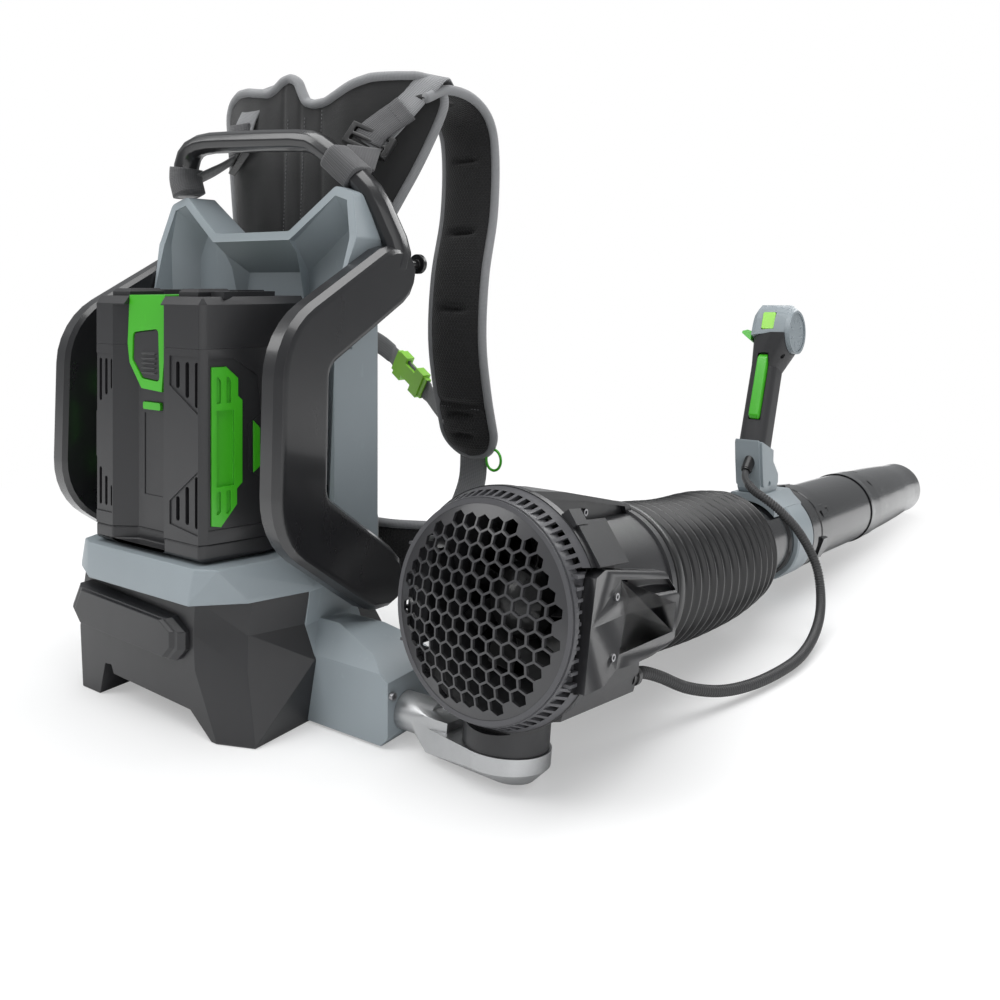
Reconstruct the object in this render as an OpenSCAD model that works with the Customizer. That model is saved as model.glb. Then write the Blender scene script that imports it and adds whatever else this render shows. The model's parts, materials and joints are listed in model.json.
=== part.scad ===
// Backpack leaf blower: battery pack frame, pivoting fan unit and outlet tube.
// Millimetres, +Z up. X = 0 is the middle plane of the pack and +X is the side of the blower.
// +Y points to the wearer's back, and Z = 0 is the ground under the feet.

/* [Pack] */
// Half width of the back shell
shell_half = 134; // [130:1:138]
// Height of the back shell's two upper corners
shell_top = 498; // [490:1:504]
// Height of the notch between the upper corners
notch_top = 455; // [445:1:462]
// Height of the black base
base_top = 121; // [118:1:122]
// Distance of the side loops from the middle plane
loop_x = 156; // [154:1:160]
// Width of a side loop's band
loop_band = 62; // [56:1:64]

/* [Battery] */
// Height of the battery
battery_h = 240; // [230:1:244]
// Height of the battery's seat over the ground
battery_z = 154; // [154:1:156]

/* [Blower] */
// Height of the fan axis over the arm's pivot
fan_axis_h = 112; // [110:1:114]
// Droop of the blower with its nozzle on the ground, in degrees
droop = 8.5; // [7.5:0.1:8.5]
// Radius of the intake rim
rim_r = 86; // [84:1:87]
// Pitch of the honeycomb cells
cell = 13; // [12:0.5:15]
// Slots round the guard ring
ring_slots = 72; // [60:4:72]
// Outer radius of the fan duct
duct_r = 72; // [70:1:72]
// Blades of the fan
fan_blades = 9; // [7:1:11]

/* [Outlet tube] */
// Ribs on the bellows
bellows_ribs = 13; // [10:1:14]
// Outer radius of the front tube
tube_r = 46; // [44:1:46]
// Inner radius of the nozzle's mouth
mouth_r = 38.5; // [36:0.5:39]

/* [Harness] */
// Width of a shoulder pad
pad_w = 74; // [66:1:78]
// Width of the webbing
webbing_w = 38; // [32:1:40]

/* [Hidden] */

charcoal = [0.16, 0.16, 0.17];
black = [0.07, 0.07, 0.08];
slate = [0.47, 0.51, 0.54];
green = [0.2, 0.68, 0.1];
lime = [0.62, 0.87, 0.2];
cast = [0.62, 0.62, 0.63];
webbing = [0.42, 0.42, 0.43];
fabric = [0.13, 0.13, 0.14];

fit_gap = 0.05;   // radial play of a running fit
clear = 0.3;      // gap between faces of different bodies
arm_y = -66;
arm_z = 27;
arm_r = 16;
swivel_x = 330;
blower_yaw = -2;
bend_y = 280;
tube_yaw = -2.5;
tube_rise = 4.7;
cup_r = 38;
shell_front = -62;
battery_front = -171;
battery_back = -66;
battery_top_z = battery_z + battery_h;

// ---- Frames -------------------------------------------------------------------------------

module arm_frame() {
    translate([0, arm_y, arm_z]) rotate([-droop, 0, 0]) children();
}

// Local Y is the fan axis and local Z the swivel axis, which meet at the origin.
module blower_frame() {
    arm_frame() translate([swivel_x, 0, fan_axis_h]) rotate([0, 0, blower_yaw]) children();
}

// The same stations along Y as the blower's, past the bend in the bellows.
module tube_frame() {
    blower_frame()
    translate([0, bend_y, 0]) rotate([tube_rise, 0, tube_yaw]) translate([0, -bend_y, 0]) children();
}

// Local Z runs up the grip, from its foot on the knuckle.
grip_lean = 19.6;
module grip_frame() {
    tube_frame() translate([0, 508, 113]) rotate([-grip_lean, 0, 0]) children();
}

// ---- Building blocks -----------------------------------------------------------------------

function unit(v) = v / norm(v);

// Arc that replaces the corner b between a and c.
function corner(a, b, c, r, n) =
    let (
        u = unit(a - b),
        w = unit(c - b),
        half = acos(max(-1, min(1, u * w))) / 2,
        middle = b + unit(u + w) * r / sin(half),
        from = b + u * r / tan(half) - middle,
        to = b + w * r / tan(half) - middle,
        a0 = atan2(from.y, from.x),
        turn = (atan2(to.y, to.x) - a0 + 540) % 360 - 180
    )
    [for (i = [0:n]) middle + r * [cos(a0 + turn * i / n), sin(a0 + turn * i / n)]];

function rounded(p, r, n = 3) =
    [for (i = [0:len(p) - 1]) each corner(p[(i + len(p) - 1) % len(p)], p[i], p[(i + 1) % len(p)], r, n)];

// Outlines drawn as (Y, Z), (X, Z) and (X, Y), pushed along the remaining axis.
module along_x(x0, x1) {
    translate([x0, 0, 0]) rotate([90, 0, 90]) linear_extrude(height = x1 - x0) children();
}
module along_y(y0, y1) {
    translate([0, y1, 0]) rotate([90, 0, 0]) linear_extrude(height = y1 - y0) children();
}
module along_z(z0, z1) {
    translate([0, 0, z0]) linear_extrude(height = z1 - z0) children();
}
module box(low, high) {
    translate(low) cube(high - low);
}
module rod_x(x0, x1, r) {
    translate([x0, 0, 0]) rotate([0, 90, 0]) cylinder(r = r, h = x1 - x0, $fn = 64);
}
module rod_y(y0, y1, r) {
    translate([0, y0, 0]) rotate([-90, 0, 0]) cylinder(r = r, h = y1 - y0, $fn = 64);
}

// Profile of [radius, station] pairs turned about the Y axis.
module turned(profile) {
    rotate([-90, 0, 0]) rotate_extrude($fn = 120) polygon(profile);
}
module both_sides() {
    children();
    mirror([1, 0, 0]) children();
}

// Closed skin over a list of rings with equal numbers of points.
module skin(rings) {
    n = len(rings[0]);
    last = len(rings) - 1;
    sides = [
        for (i = [0:last - 1])
            for (k = [0:n - 1])
                each [
                    [i * n + k, (i + 1) * n + k, i * n + (k + 1) % n],
                    [i * n + (k + 1) % n, (i + 1) * n + k, (i + 1) * n + (k + 1) % n]
                ]
    ];
    start = [for (k = [1:n - 2]) [0, k, k + 1]];
    end = [for (k = [1:n - 2]) [last * n, last * n + k + 1, last * n + k]];
    polyhedron(points = [for (ring = rings) each ring], faces = concat(start, sides, end));
}

// Points of a smooth curve through p, with n steps between neighbours.
function bend_at(a, b, c, d, t) =
    0.5 * (2 * b + (c - a) * t + (2 * a - 5 * b + 4 * c - d) * t * t + (3 * b - a - 3 * c + d) * t * t * t);
function curve(p, n) =
    concat(
        [for (i = [0:len(p) - 2]) for (k = [0:n - 1])
            bend_at(p[max(i - 1, 0)], p[i], p[i + 1], p[min(i + 2, len(p) - 1)], k / n)],
        [p[len(p) - 1]]
    );
function tangents(p) =
    [for (i = [0:len(p) - 1]) unit(p[min(i + 1, len(p) - 1)] - p[max(i - 1, 0)])];
function normals(t, i, start) =
    i == len(t) ? [] :
    let (m = unit(start - (start * t[i]) * t[i])) concat([m], normals(t, i + 1, m));

// Band with a flat section along a path: across is the direction of its width at every point.
module strap(path, across, width, thick) {
    t = tangents(path);
    skin([
        for (i = [0:len(path) - 1])
            let (a = unit(across - (across * t[i]) * t[i]) * width / 2, b = unit(cross(t[i], a)) * thick / 2)
            [path[i] - a - b, path[i] + a - b, path[i] + a + b, path[i] - a + b]
    ]);
}

// Padded band: crowned on both faces, thinner at each sewn tuft.
pad_sides = 12;
module padded_band(path, across, width, thick, tufts) {
    t = tangents(path);
    last = len(path) - 1;
    skin([
        for (i = [0:last])
            let (
                s = i / last,
                end = 0.35 + 0.65 * sqrt(sin(180 * max(0.03, min(0.97, s)))),
                tuft = min([for (m = tufts) min(1, 0.55 + abs(s - m) / 0.045 * 0.45)]),
                a = unit(across - (across * t[i]) * t[i]) * width / 2 * min(1, end * 1.25),
                b = unit(cross(t[i], a)) * thick / 2 * end * tuft
            )
            [for (k = [0:pad_sides - 1])
                let (q = 360 * k / pad_sides, c = cos(q), d = sin(q))
                path[i] + a * sign(c) * pow(abs(c), 0.7) + b * sign(d) * pow(abs(d), 0.8)]
    ]);
}

// ---- Pack: rigid mouldings -----------------------------------------------------------------

// Plan of the base at four heights: foot, knee, waist and top.
base_plans = [
    [0, [[-124, -150], [-116, -160], [92, -165], [127, -152], [127, -20], [-124, -20]]],
    [58, [[-129, -148], [-119, -161], [64, -166], [110, -146], [138, -92], [138, -20], [-129, -20]]],
    [88, [[-126, -148], [-117, -160], [62, -166], [104, -140], [124, -90], [124, -20], [-126, -20]]],
    [base_top - 2, [[-122, -146], [-113, -158], [62, -164], [106, -136], [131, -88], [131, -20], [-122, -20]]]
];
// Front view of the arch and the open right corner under the front wall.
arch = [[-86, -1], [-76, 32], [-66, 33], [-62, 25], [56, 21], [86, -1]];
foot_bar_y = 46;
neck_x = 112;
neck_z = 62;

module base_body() {
    for (k = [0:len(base_plans) - 2])
        hull() {
            along_z(base_plans[k][0], base_plans[k][0] + 2) polygon(base_plans[k][1]);
            along_z(base_plans[k + 1][0], base_plans[k + 1][0] + 2) polygon(base_plans[k + 1][1]);
        }
}
module base_housing() {
    color(charcoal) {
        difference() {
            base_body();
            along_y(-200, -36) polygon(arch);
            along_y(-180, -158) polygon(badge_outline);
            along_z(40, base_top + 1)
                polygon([[-112, -148], [58, -150], [88, -132], [102, -98], [102, -34], [-112, -34]]);
            box([-104, -140, -1], [-92, -40, 30]);
            box([neck_x, -90.5, neck_z], [150, -10, base_top + 1]);
        }
        foot_bar();
    }
}

// Level bar behind the feet that the pack stands back on.
module foot_bar() {
    difference() {
        box([-118, -21, 0], [118, foot_bar_y, 22]);
        for (x = [-92, 24]) box([x, -12, -1], [x + 68, foot_bar_y - 16, 23]);
    }
    for (x = [-118, 106]) along_x(x, x + 12) polygon([[-21, 22], [foot_bar_y, 22], [-4, 100], [-21, 100]]);
}

badge_outline = [[-117, 84], [-104, 108], [38, 102], [56, 92], [56, 76], [44, 64], [-104, 70]];
module badge_plate() {
    color(charcoal) {
        hull() {
            along_y(-170, -158) polygon(badge_outline);
            along_y(-174, -173) translate([-30, 85]) scale(0.93) translate([30, -85]) polygon(badge_outline);
        }
        hull() {
            along_y(-174, -172) translate([-30, 85]) scale(0.88) translate([30, -85]) polygon(badge_outline);
            along_y(-177, -176) translate([-30, 85]) scale(0.84) translate([30, -85]) polygon(badge_outline);
        }
    }
}

// Grey tray round the battery's foot.
shelf_low = [[-129, -98], [-112, -164], [-74, -181], [74, -181], [112, -146], [134, -90], [134, -6], [-129, -6]];
shelf_high = [[-114, -108], [-95, -171], [-78, -178], [78, -178], [97, -168], [114, -110], [120, -80], [120, -8], [-114, -8]];
module shelf() {
    color(slate)
    difference() {
        hull() {
            along_z(base_top, base_top + 5) polygon(shelf_low);
            along_z(battery_z - 2.3, battery_z - 0.3) polygon(shelf_high);
        }
        along_z(battery_z - 14, battery_z) polygon(battery_plan(-12));
        box([-50, -120, base_top - 1], [50, -70, battery_z]);
        box([-140, shell_front, base_top - 1], [140, 0, battery_z]);
    }
}

shell_outline = [
    [-shell_half, base_top], [shell_half, base_top], [shell_half, 372], [shell_half + 14, 446],
    [shell_half + 2, shell_top - 8], [112, shell_top], [55, notch_top], [-55, notch_top],
    [-112, shell_top], [-shell_half - 2, shell_top - 8], [-shell_half - 14, 446], [-shell_half, 372]
];
shell_side = [[-1, base_top - 1], [shell_front, base_top - 1], [shell_front, 392], [-46, 450], [-36, 505], [-1, 505]];
shell_rim = 9;
module back_shell() {
    color(slate)
    difference() {
        intersection() {
            along_y(-90, -1) polygon(rounded(shell_outline, 7));
            along_x(-160, 160) polygon(shell_side);
        }
        both_sides() shell_lobe();
        hull() {
            along_y(-91, -46) polygon([[-90, 150], [90, 150], [62, notch_top - 9], [-62, notch_top - 9]]);
            along_y(-13, -12) polygon([[-82, 160], [82, 160], [40, 414], [-40, 414]]);
        }
        carry_bar(0.2);
    }
}

// Deep corner pocket of the shell, drawn in towards its back wall.
module shell_lobe() {
    hull() {
        along_y(-91, -38) polygon([[56, 150], [shell_half - shell_rim, 150], [shell_half - shell_rim, 374],
            [shell_half + 5, 445], [shell_half - 5, shell_top - 15], [113, shell_top - 10], [56, notch_top - 10]]);
        along_y(-13, -12) polygon([[50, 160], [shell_half - 22, 160], [shell_half - 22, 376],
            [shell_half - 12, 430], [shell_half - 26, 458], [108, 456], [50, 414]]);
    }
}

// Two channels that hold the battery's T-shaped back.
module battery_rails() {
    color(black)
    both_sides() {
        box([56, -65, 162], [72, -12, 378]);
        box([44, -65, 162], [56.5, -61, 378]);
        for (z = [190, 260, 330]) box([71, -50, z], [77, -12.5, z + 8]);
    }
}

module terminal_block() {
    color(black) {
        box([-34, -112, 110], [34, -78, 138]);
        for (x = [-24:12:24]) box([x - 1.5, -106, 138], [x + 1.5, -84, 148]);
    }
}

module controller() {
    color(cast) {
        box([-86, -120, 44], [86, -40, 80]);
        for (x = [-80:10:80]) box([x - 1.5, -118, 80], [x + 1.5, -42, 92]);
    }
}

// Grey housing that carries the arm's pivot, with a neck up the base's flank to the shelf.
block_end = 224;
module bearing_block() {
    color(slate)
    difference() {
        union() {
            intersection() {
                along_x(122, block_end)
                    polygon([[-90.5, 2], [-86, 0], [-22, 0], [-18, 6], [-18, 62], [-34, 84], [-72, 90], [-90.5, 64]]);
                along_y(-100, -10)
                    polygon([[214, 0], [block_end, 10], [block_end, 58], [200, 76], [150, 90], [110, 90], [110, 0]]);
            }
            along_y(-90.5, -21)
                polygon([[neck_x, neck_z], [137, neck_z], [125, 88], [131, base_top], [neck_x, base_top]]);
        }
        translate([0, arm_y, arm_z]) rod_x(160, block_end + 1, arm_r + fit_gap);
        difference() {
            base_body();
            box([neck_x, -90.5, neck_z], [150, -10, base_top + 1]);
        }
    }
}

// Carry handle: hooked left end, level bar, and a right end that runs down beside the shell.
handle_path = [
    [-122, -27, 501], [-128, -27, 522], [-123, -26, 545], [-104, -24, 556], [-60, -22, 556], [46, -22, 549],
    [76, -20, 541], [106, -16, 518], [134, -10, 492], [148, -2, 460], [158, 2, 432], [157, -8, 412]
];
handle_section = [15, 12];
module carry_bar(grow) {
    path = curve(handle_path, 2);
    t = tangents(path);
    skin([
        for (i = [0:len(path) - 1])
            let (
                a = unit(cross(t[i], [0, 1, 0])) * (handle_section.y + grow),
                b = unit(cross(t[i], a)) * (handle_section.x + grow)
            )
            [for (k = [0:9]) path[i] + a * cos(36 * k + 18) + b * sin(36 * k + 18)]
    ]);
}
module carry_handle() {
    color(charcoal) carry_bar(0);
}

// Side loops: a bevelled band swept along rounded corners given as (Y, Z), with round ends.
loop_line = [[-14, 408], [-130, 346], [-134, 200], [-32, 124]];
loop_bend = 44;
module loop_sweep() {
    path = concat(
        [loop_line[0]],
        corner(loop_line[0], loop_line[1], loop_line[2], loop_bend, 6),
        corner(loop_line[1], loop_line[2], loop_line[3], loop_bend, 6),
        [loop_line[3]]
    );
    t = tangents(path);
    last = len(path) - 1;
    half = loop_band / 2;
    low = loop_x - 14;
    high = loop_x + 13;
    section = [
        [low, half - 4], [low + 4, half], [high - 9, half], [high - 2, half - 4], [high, half - 9],
        [high, 9 - half], [high - 2, 4 - half], [high - 9, -half], [low + 4, -half], [low, 4 - half]
    ];
    // Stations of [point, direction, share of the width].
    stations = concat(
        [for (e = [0.95, 0.75, 0.4]) [path[0] - t[0] * half * e, t[0], sqrt(1 - e * e)]],
        [for (i = [0:last]) [path[i], t[i], 1]],
        [for (e = [0.4, 0.75, 0.95]) [path[last] + t[last] * half * e, t[last], sqrt(1 - e * e)]]
    );
    skin([
        for (m = stations)
            [for (p = section) [p.x, m[0].x - m[1].y * p.y * m[2], m[0].y + m[1].x * p.y * m[2]]]
    ]);
}
module side_loop() {
    color(black)
    difference() {
        union() {
            loop_sweep();
            along_x(shell_half, loop_x - 8) polygon([[-44, 378], [-4, 378], [-4, 432], [-24, 430]]);
            along_x(shell_half, loop_x - 8) polygon([[-60, 126], [-6, 126], [-6, 150], [-60, 168]]);
        }
        along_y(-70, 30) polygon([[100, 360], [shell_half, 372], [shell_half + 14, 446], [100, 446]]);
    }
}
module side_loop_right() {
    side_loop();
}
module side_loop_left() {
    mirror([1, 0, 0]) side_loop();
}

module accessory_stud() {
    color(black)
    translate([loop_x + 2, 8, 422]) rotate([-90, 0, 0]) {
        cylinder(r = 4.5, h = 24, $fn = 32);
        translate([0, 0, 22]) cylinder(r = 10, h = 5, $fn = 48);
    }
}

module cap_screw(r, h) {
    difference() {
        cylinder(r = r, h = h, $fn = 32);
        translate([0, 0, h - r * 0.6]) cylinder(r = r * 0.55, h = r, $fn = 6);
    }
}
module pack_screws() {
    color(cast) {
        for (x = [-70, 70]) for (z = [50, 92]) translate([x, -20, z]) rotate([-90, 0, 0]) cap_screw(4, 5);
        for (y = [-86, -36]) translate([block_end, y, 46]) rotate([0, 90, 0]) cap_screw(3.5, 4);
    }
}

// ---- Pack: harness -------------------------------------------------------------------------

// Upholstered pad in the XZ plane: rings climb it, half_w and thick follow its height.
module cushion(z0, z1, half_w, y, thick, channels) {
    rows = 34;
    skin([
        for (i = [0:rows])
            let (
                s = i / rows,
                end = sqrt(sin(180 * max(0.02, min(0.98, s)))),
                channel = min([for (m = channels) min(1, 0.6 + abs(s - m) / 0.04 * 0.4)]),
                w = half_w * (0.8 + 0.2 * end),
                h = thick / 2 * (0.3 + 0.7 * end) * channel
            )
            [for (k = [0:19])
                let (q = 18 * k, c = cos(q), d = sin(q), crown = d > 0 ? 1.15 : 0.8)
                [w * sign(c) * pow(abs(c), 0.45), y + h * crown * d, z0 + (z1 - z0) * s]]
    ]);
}
module back_pad() {
    color(fabric) cushion(196, 500, 104, 18, 28, [0.33, 0.66]);
}
module lumbar_pad() {
    color(fabric) cushion(92, 186, 112, 22, 36, [0.5]);
}

yoke_outline = [
    [-92, 440], [92, 440], [98, 470], [118, 520], [138, 580], [142, 606], [124, 624], [100, 622], [66, 616],
    [34, 598], [4, 592], [-28, 600], [-62, 618], [-100, 624], [-124, 622], [-142, 606], [-138, 580],
    [-118, 520], [-98, 470]
];
// Half of the yoke's plan: it bows round the wearer's neck.
yoke_bow = [[0, 30], [60, 30], [90, 42], [110, 58], [126, 75], [142, 94], [142, 107], [120, 87], [103, 68], [86, 52], [58, 39], [0, 39]];
module yoke() {
    color(fabric)
    intersection() {
        along_y(20, 110) polygon(rounded(yoke_outline, 6));
        both_sides() along_z(430, 630) polygon(yoke_bow);
    }
}

// Middle line of the right shoulder pad, from the yoke over the shoulder to its lower end.
pad_path = [
    [104, 66, 612], [108, 100, 622], [112, 142, 618], [116, 170, 592], [118, 178, 548], [120, 172, 480],
    [122, 152, 410], [121, 148, 340], [119, 160, 280], [117, 178, 224]
];
pad_tufts = [0.2, 0.42, 0.62, 0.84];
module shoulder_pad() {
    color(fabric) padded_band(curve(pad_path, 4), [1, 0, 0], pad_w, 24, pad_tufts);
}
module shoulder_pad_right() {
    shoulder_pad();
}
module shoulder_pad_left() {
    mirror([1, 0, 0]) shoulder_pad();
}

lifter_path = [[132, 104, 632], [137, 88, 634], [129, 72, 613], [107, 47, 582], [99, 29, 554], [95, 21, 538]];
module lifter() {
    color(webbing) strap(curve(lifter_path, 3), unit([0.85, 0.3, -0.42]), webbing_w, 3);
}
module lifter_right() {
    lifter();
}
module lifter_left() {
    mirror([1, 0, 0]) lifter();
}

// Ladder buckles where the lifters pass over the yoke.
module slide_buckles() {
    color(black)
    both_sides()
        translate([98, 27, 550]) rotate([-23, 24.8, 19.4])
        difference() {
            box([-26, -4, -13], [26, 4, 13]);
            box([-20, -5, -8], [20, 5, -2]);
            box([-20, -5, 2], [20, 5, 8]);
        }
}

lower_path = [[117, 182, 226], [117, 186, 196], [116, 180, 164], [112, 150, 124], [106, 112, 106], [105, 80, 106], [104, 62, 112]];
module lower_strap() {
    color(webbing) strap(curve(lower_path, 3), [1, 0, 0], webbing_w, 3);
}
module lower_strap_right() {
    lower_strap();
}
module lower_strap_left() {
    mirror([1, 0, 0]) lower_strap();
}

// The strap runs straight through its buckle, which hangs low on the right.
buckle_at = [15, 196, 290];
buckle_way = unit([40, -8, -25]);
sternum_path = [
    [-94, 156, 348], [-68, 184, 341], [-42, 200, 326], buckle_at - 46 * buckle_way, buckle_at - 36 * buckle_way,
    buckle_at, buckle_at + 34 * buckle_way, buckle_at + 40 * buckle_way, [70, 178, 257], [92, 164, 249]
];
module sternum_strap() {
    color(webbing) strap(curve(sternum_path, 4), [0, 0, 1], 24, 2.4);
}
module sternum_buckle() {
    color(lime)
    translate(buckle_at)
    rotate([0, -asin(buckle_way.z), atan2(buckle_way.y, buckle_way.x)])
    difference() {
        union() {
            box([-26, -6, -16.5], [26, 6, 16.5]);
            for (x = [-32, 24]) box([x, -4, -13.5], [x + 8, 4, 13.5]);
        }
        box([-40, -2.2, -12.8], [40, 2.2, 12.8]);
        for (z = [-18, 9]) box([-10, -7, z], [10, 7, z + 9]);
    }
}

belt_path = [[86, 53, 118], [112, 58, 118], [150, 84, 116], [172, 120, 112], [168, 172, 106], [140, 208, 102]];
module waist_belt() {
    color(fabric) {
        for (side = [-1, 1])
            let (path = [for (p = curve(belt_path, 4)) [side * p.x, p.y, p.z]])
            padded_band(path, [0, 0, 1], 66, 16, [0.35, 0.7]);
        box([-92, 44, 98], [92, 50, 134]);
    }
}

// ---- Battery -------------------------------------------------------------------------------

// Plan of the battery, with its two front columns, grown by g.
function battery_plan(g = 0) = [
    [-99 - g, -112], [-80 - g, -165 - g], [-76, battery_front - g], [-50 + g, battery_front - g], [-28 + g, -158 - g],
    [24 - g, -158 - g], [27 - g, battery_front - g], [75, battery_front - g], [80 + g, -165 - g], [99 + g, -112],
    [99 + g, battery_back], [-99 - g, battery_back]
];
seam_low = 172;
seam_high = 345;

// Three upright vent slots in a shallow field: each one's ends step on by low_step and high_step.
module slot_group(x0, pitch, width, low, low_step, high, high_step) {
    for (k = [0:2])
        let (x = x0 + pitch * k, z0 = low + low_step * k, z1 = high + high_step * k)
        along_y(battery_front - 1, battery_front + 9)
            polygon(rounded([[x, z0], [x + width, z0], [x + width, z1], [x, z1]], width * 0.4, 2));
    along_y(battery_front - 1, battery_front + 1.2)
        polygon([
            [x0 - pitch * 0.6, low - low_step - 6], [x0 + pitch * 2.4, low + low_step * 2 - 6],
            [x0 + pitch * 2.4, high + high_step * 2 + 5], [x0 - pitch * 0.6, high - high_step + 5]
        ]);
}
module battery_slots() {
    slot_group(-73, 9, 4, 190, 0, 226, -8);
    slot_group(-73, 9, 4, 290, 6, 331, 0);
    slot_group(43, 13, 5, 190, -2, 212, 10);
    slot_group(43, 13, 5, 309, -8, 333, 0);
}
module battery_case() {
    color(charcoal)
    difference() {
        union() {
            along_z(seam_low + 0.2, seam_high - 0.2) polygon(battery_plan());
            box([-41, battery_back - 1, seam_low + 4], [41, -59, seam_high]);
            box([-54, -60, seam_low + 4], [54, -49, seam_high]);
        }
        battery_slots();
        along_y(battery_front - 14, -150) polygon(strip_outline(0.4));
        box([-19, -160, 284], [8, -154, 292]);
        box([-19, -160, 204], [8, -157.2, 281]);
        battery_side_pockets();
    }
}

// Shallow pockets in the slanted flanks and in the sides, as (distance along the flank, height).
module on_flank(y0, y1) {
    translate([80, -165, 0]) rotate([0, 0, atan2(53, 19)]) along_y(y0, y1) children();
}
function panel_outline(g) = [
    [3 + g, 188 + g], [12, 186 + g], [27 - g, 205], [27 - g, 219], [32 - g, 224], [32 - g, 298],
    [28 - g, 302], [28 - g, 318], [16.6, 329 - g], [3 + g, 329 - g]
];
module flank_insert(g, depth) {
    on_flank(-4, depth) polygon([[41.5 + g, 231 + g], [49 - g, 236 + g], [49 - g, 272 - g], [41.5 + g, 279 - g]]);
}
module side_wedges(g, depth) {
    for (z = [192, 278])
        along_x(99 - depth, 104)
            polygon([[-110 + g, z + 5 + g], [-86 - g, z + g], [-86 - g, z + 34 - g], [-110 + g, z + 29 - g]]);
}
module battery_side_pockets() {
    both_sides() {
        on_flank(-4, 1) polygon([[1, 184], [50, 184], [50, 226], [38, 234], [38, 276], [50, 284], [46, 320], [24, 336], [1, 336]]);
        on_flank(-4, 4) polygon(panel_outline(0));
        flank_insert(0, 3);
        side_wedges(0, 3);
    }
}
module vent_panels() {
    color(green)
    both_sides()
        difference() {
            on_flank(-0.8, 3.8) polygon(panel_outline(0.4));
            on_flank(-5, 2.6) polygon([[8, 222], [24, 222], [24, 290], [8, 290]]);
            for (s = [8, 17]) {
                on_flank(-5, 2.6) polygon(rounded([[s, 296], [s + 4, 296], [s + 4, 316], [s, 322]], 1));
                on_flank(-5, 2.6) polygon(rounded([[s, 196], [s + 4, 200], [s + 4, 218], [s, 218]], 1));
            }
        }
}
module side_inserts() {
    color(green)
    both_sides() {
        intersection() {
            side_wedges(1, 2.8);
            box([90, -120, 150], [100.5, -60, 360]);
        }
        intersection() {
            flank_insert(0.5, 2.8);
            on_flank(-0.8, 4) polygon([[38, 226], [52, 226], [52, 284], [38, 284]]);
        }
    }
}
module battery_top() {
    color(charcoal)
    difference() {
        union() {
            along_z(seam_high, battery_top_z - 10) polygon(battery_plan());
            hull() {
                along_z(battery_top_z - 11, battery_top_z - 10) polygon(battery_plan());
                along_z(battery_top_z - 4, battery_top_z - 3) polygon(battery_plan(-5));
            }
            for (x = [-66, 34]) hull() {
                box([x, -160, battery_top_z - 5], [x + 27, -122, battery_top_z + 1]);
                box([x + 2, -157, battery_top_z], [x + 24, -125, battery_top_z + 4]);
            }
            box([66, -150, battery_top_z - 5], [84, -90, battery_top_z + 1.5]);
            box([-84, -112, battery_top_z - 5], [58, -80, battery_top_z + 2.5]);
        }
        along_y(battery_front - 14, -150) polygon(strip_outline(0.4));
        box([-31.4, battery_front - 1, 390], [22.4, -150, battery_top_z + 6]);
        box([-31.4, -151, battery_top_z - 8], [22.4, -112.5, battery_top_z + 1]);
    }
}
module battery_bottom() {
    color(charcoal)
    difference() {
        union() {
            along_z(battery_z + 6, seam_low) polygon(battery_plan());
            hull() {
                along_z(battery_z + 5, battery_z + 6) polygon(battery_plan());
                along_z(battery_z, battery_z + 1) polygon(battery_plan(-8));
            }
        }
        box([-36, -114, battery_z - 1], [36, -76, battery_z + 4]);
    }
}

// Green latch strip over the recess between the columns, with a shield-shaped window for the button.
function strip_outline(g) = [
    [-13 - g, 305 - g], [17 + g, 303 - g], [22 + g, 346], [22 + g, battery_top_z - 2 + g],
    [-31 - g, battery_top_z - 2 + g], [-34 - g, 346], [-31 - g, 328]
];
function window_outline(g) = rounded([[-12 + g, 314 + g], [14 - g, 312 + g], [12 - g, 361 - g], [-26 + g, 357 - g], [-27 + g, 331]], 4);
module latch_strip() {
    color(green)
    difference() {
        union() {
            along_y(-166, -150.4) polygon(strip_outline(0));
            box([-31, -152, battery_top_z - 7.4], [22, -113, battery_top_z - 2]);
        }
        along_y(-167, -148) polygon(window_outline(0));
    }
}
module latch_button() {
    color(charcoal) {
        along_y(-165, -153.5) polygon(window_outline(0.6));
        for (k = [0:4]) box([-12, -167, 319 + 4.4 * k], [8, -164, 320.8 + 4.4 * k]);
    }
}
module gauge_button() {
    color(green) along_y(-160.5, -156.2) polygon(rounded([[-18.5, 284.5], [7.5, 284.5], [7.5, 291.5], [-18.5, 291.5]], 2));
}

// ---- Pivoting arm --------------------------------------------------------------------------

module pivot_arm() {
    color(cast)
    arm_frame() {
        rod_x(164, 262, arm_r);
        hull() {
            rod_x(243, 246, arm_r);
            box([262, -17, -22], [282, 17, 6]);
        }
        hull() {
            box([262, -17, -22], [282, 17, -3]);
            translate([swivel_x, 0, -13]) cylinder(r = cup_r, h = 13 - clear, $fn = 48);
            translate([swivel_x + 8, 0, -24]) cylinder(r = 19, h = 2, $fn = 32);
        }
        translate([swivel_x, 0, -6]) cylinder(r = 14, h = 26, $fn = 64);
    }
}

// ---- Fan unit ------------------------------------------------------------------------------

duct_in = duct_r - 6.5;
bellmouth = [[0, -60], [91, -60], [91, -28], [84, -18], [duct_in, 26], [duct_in, 171], [0, 171]];
housing_profile = [
    [60, -28], [96, -28], [96, -20], [88, -16], [76, 24], [duct_r, 30], [duct_r, 142], [duct_r + 2.5, 143],
    [duct_r + 2.5, 152], [duct_r - 3, 153], [duct_r - 3, 168], [60, 168]
];
socket_low = -fan_axis_h;
rib_outline = [[-26, 60], [-26, 94], [30, 91.4], [110, 82], [147, 76], [153, 71], [153, 60]];

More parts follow.
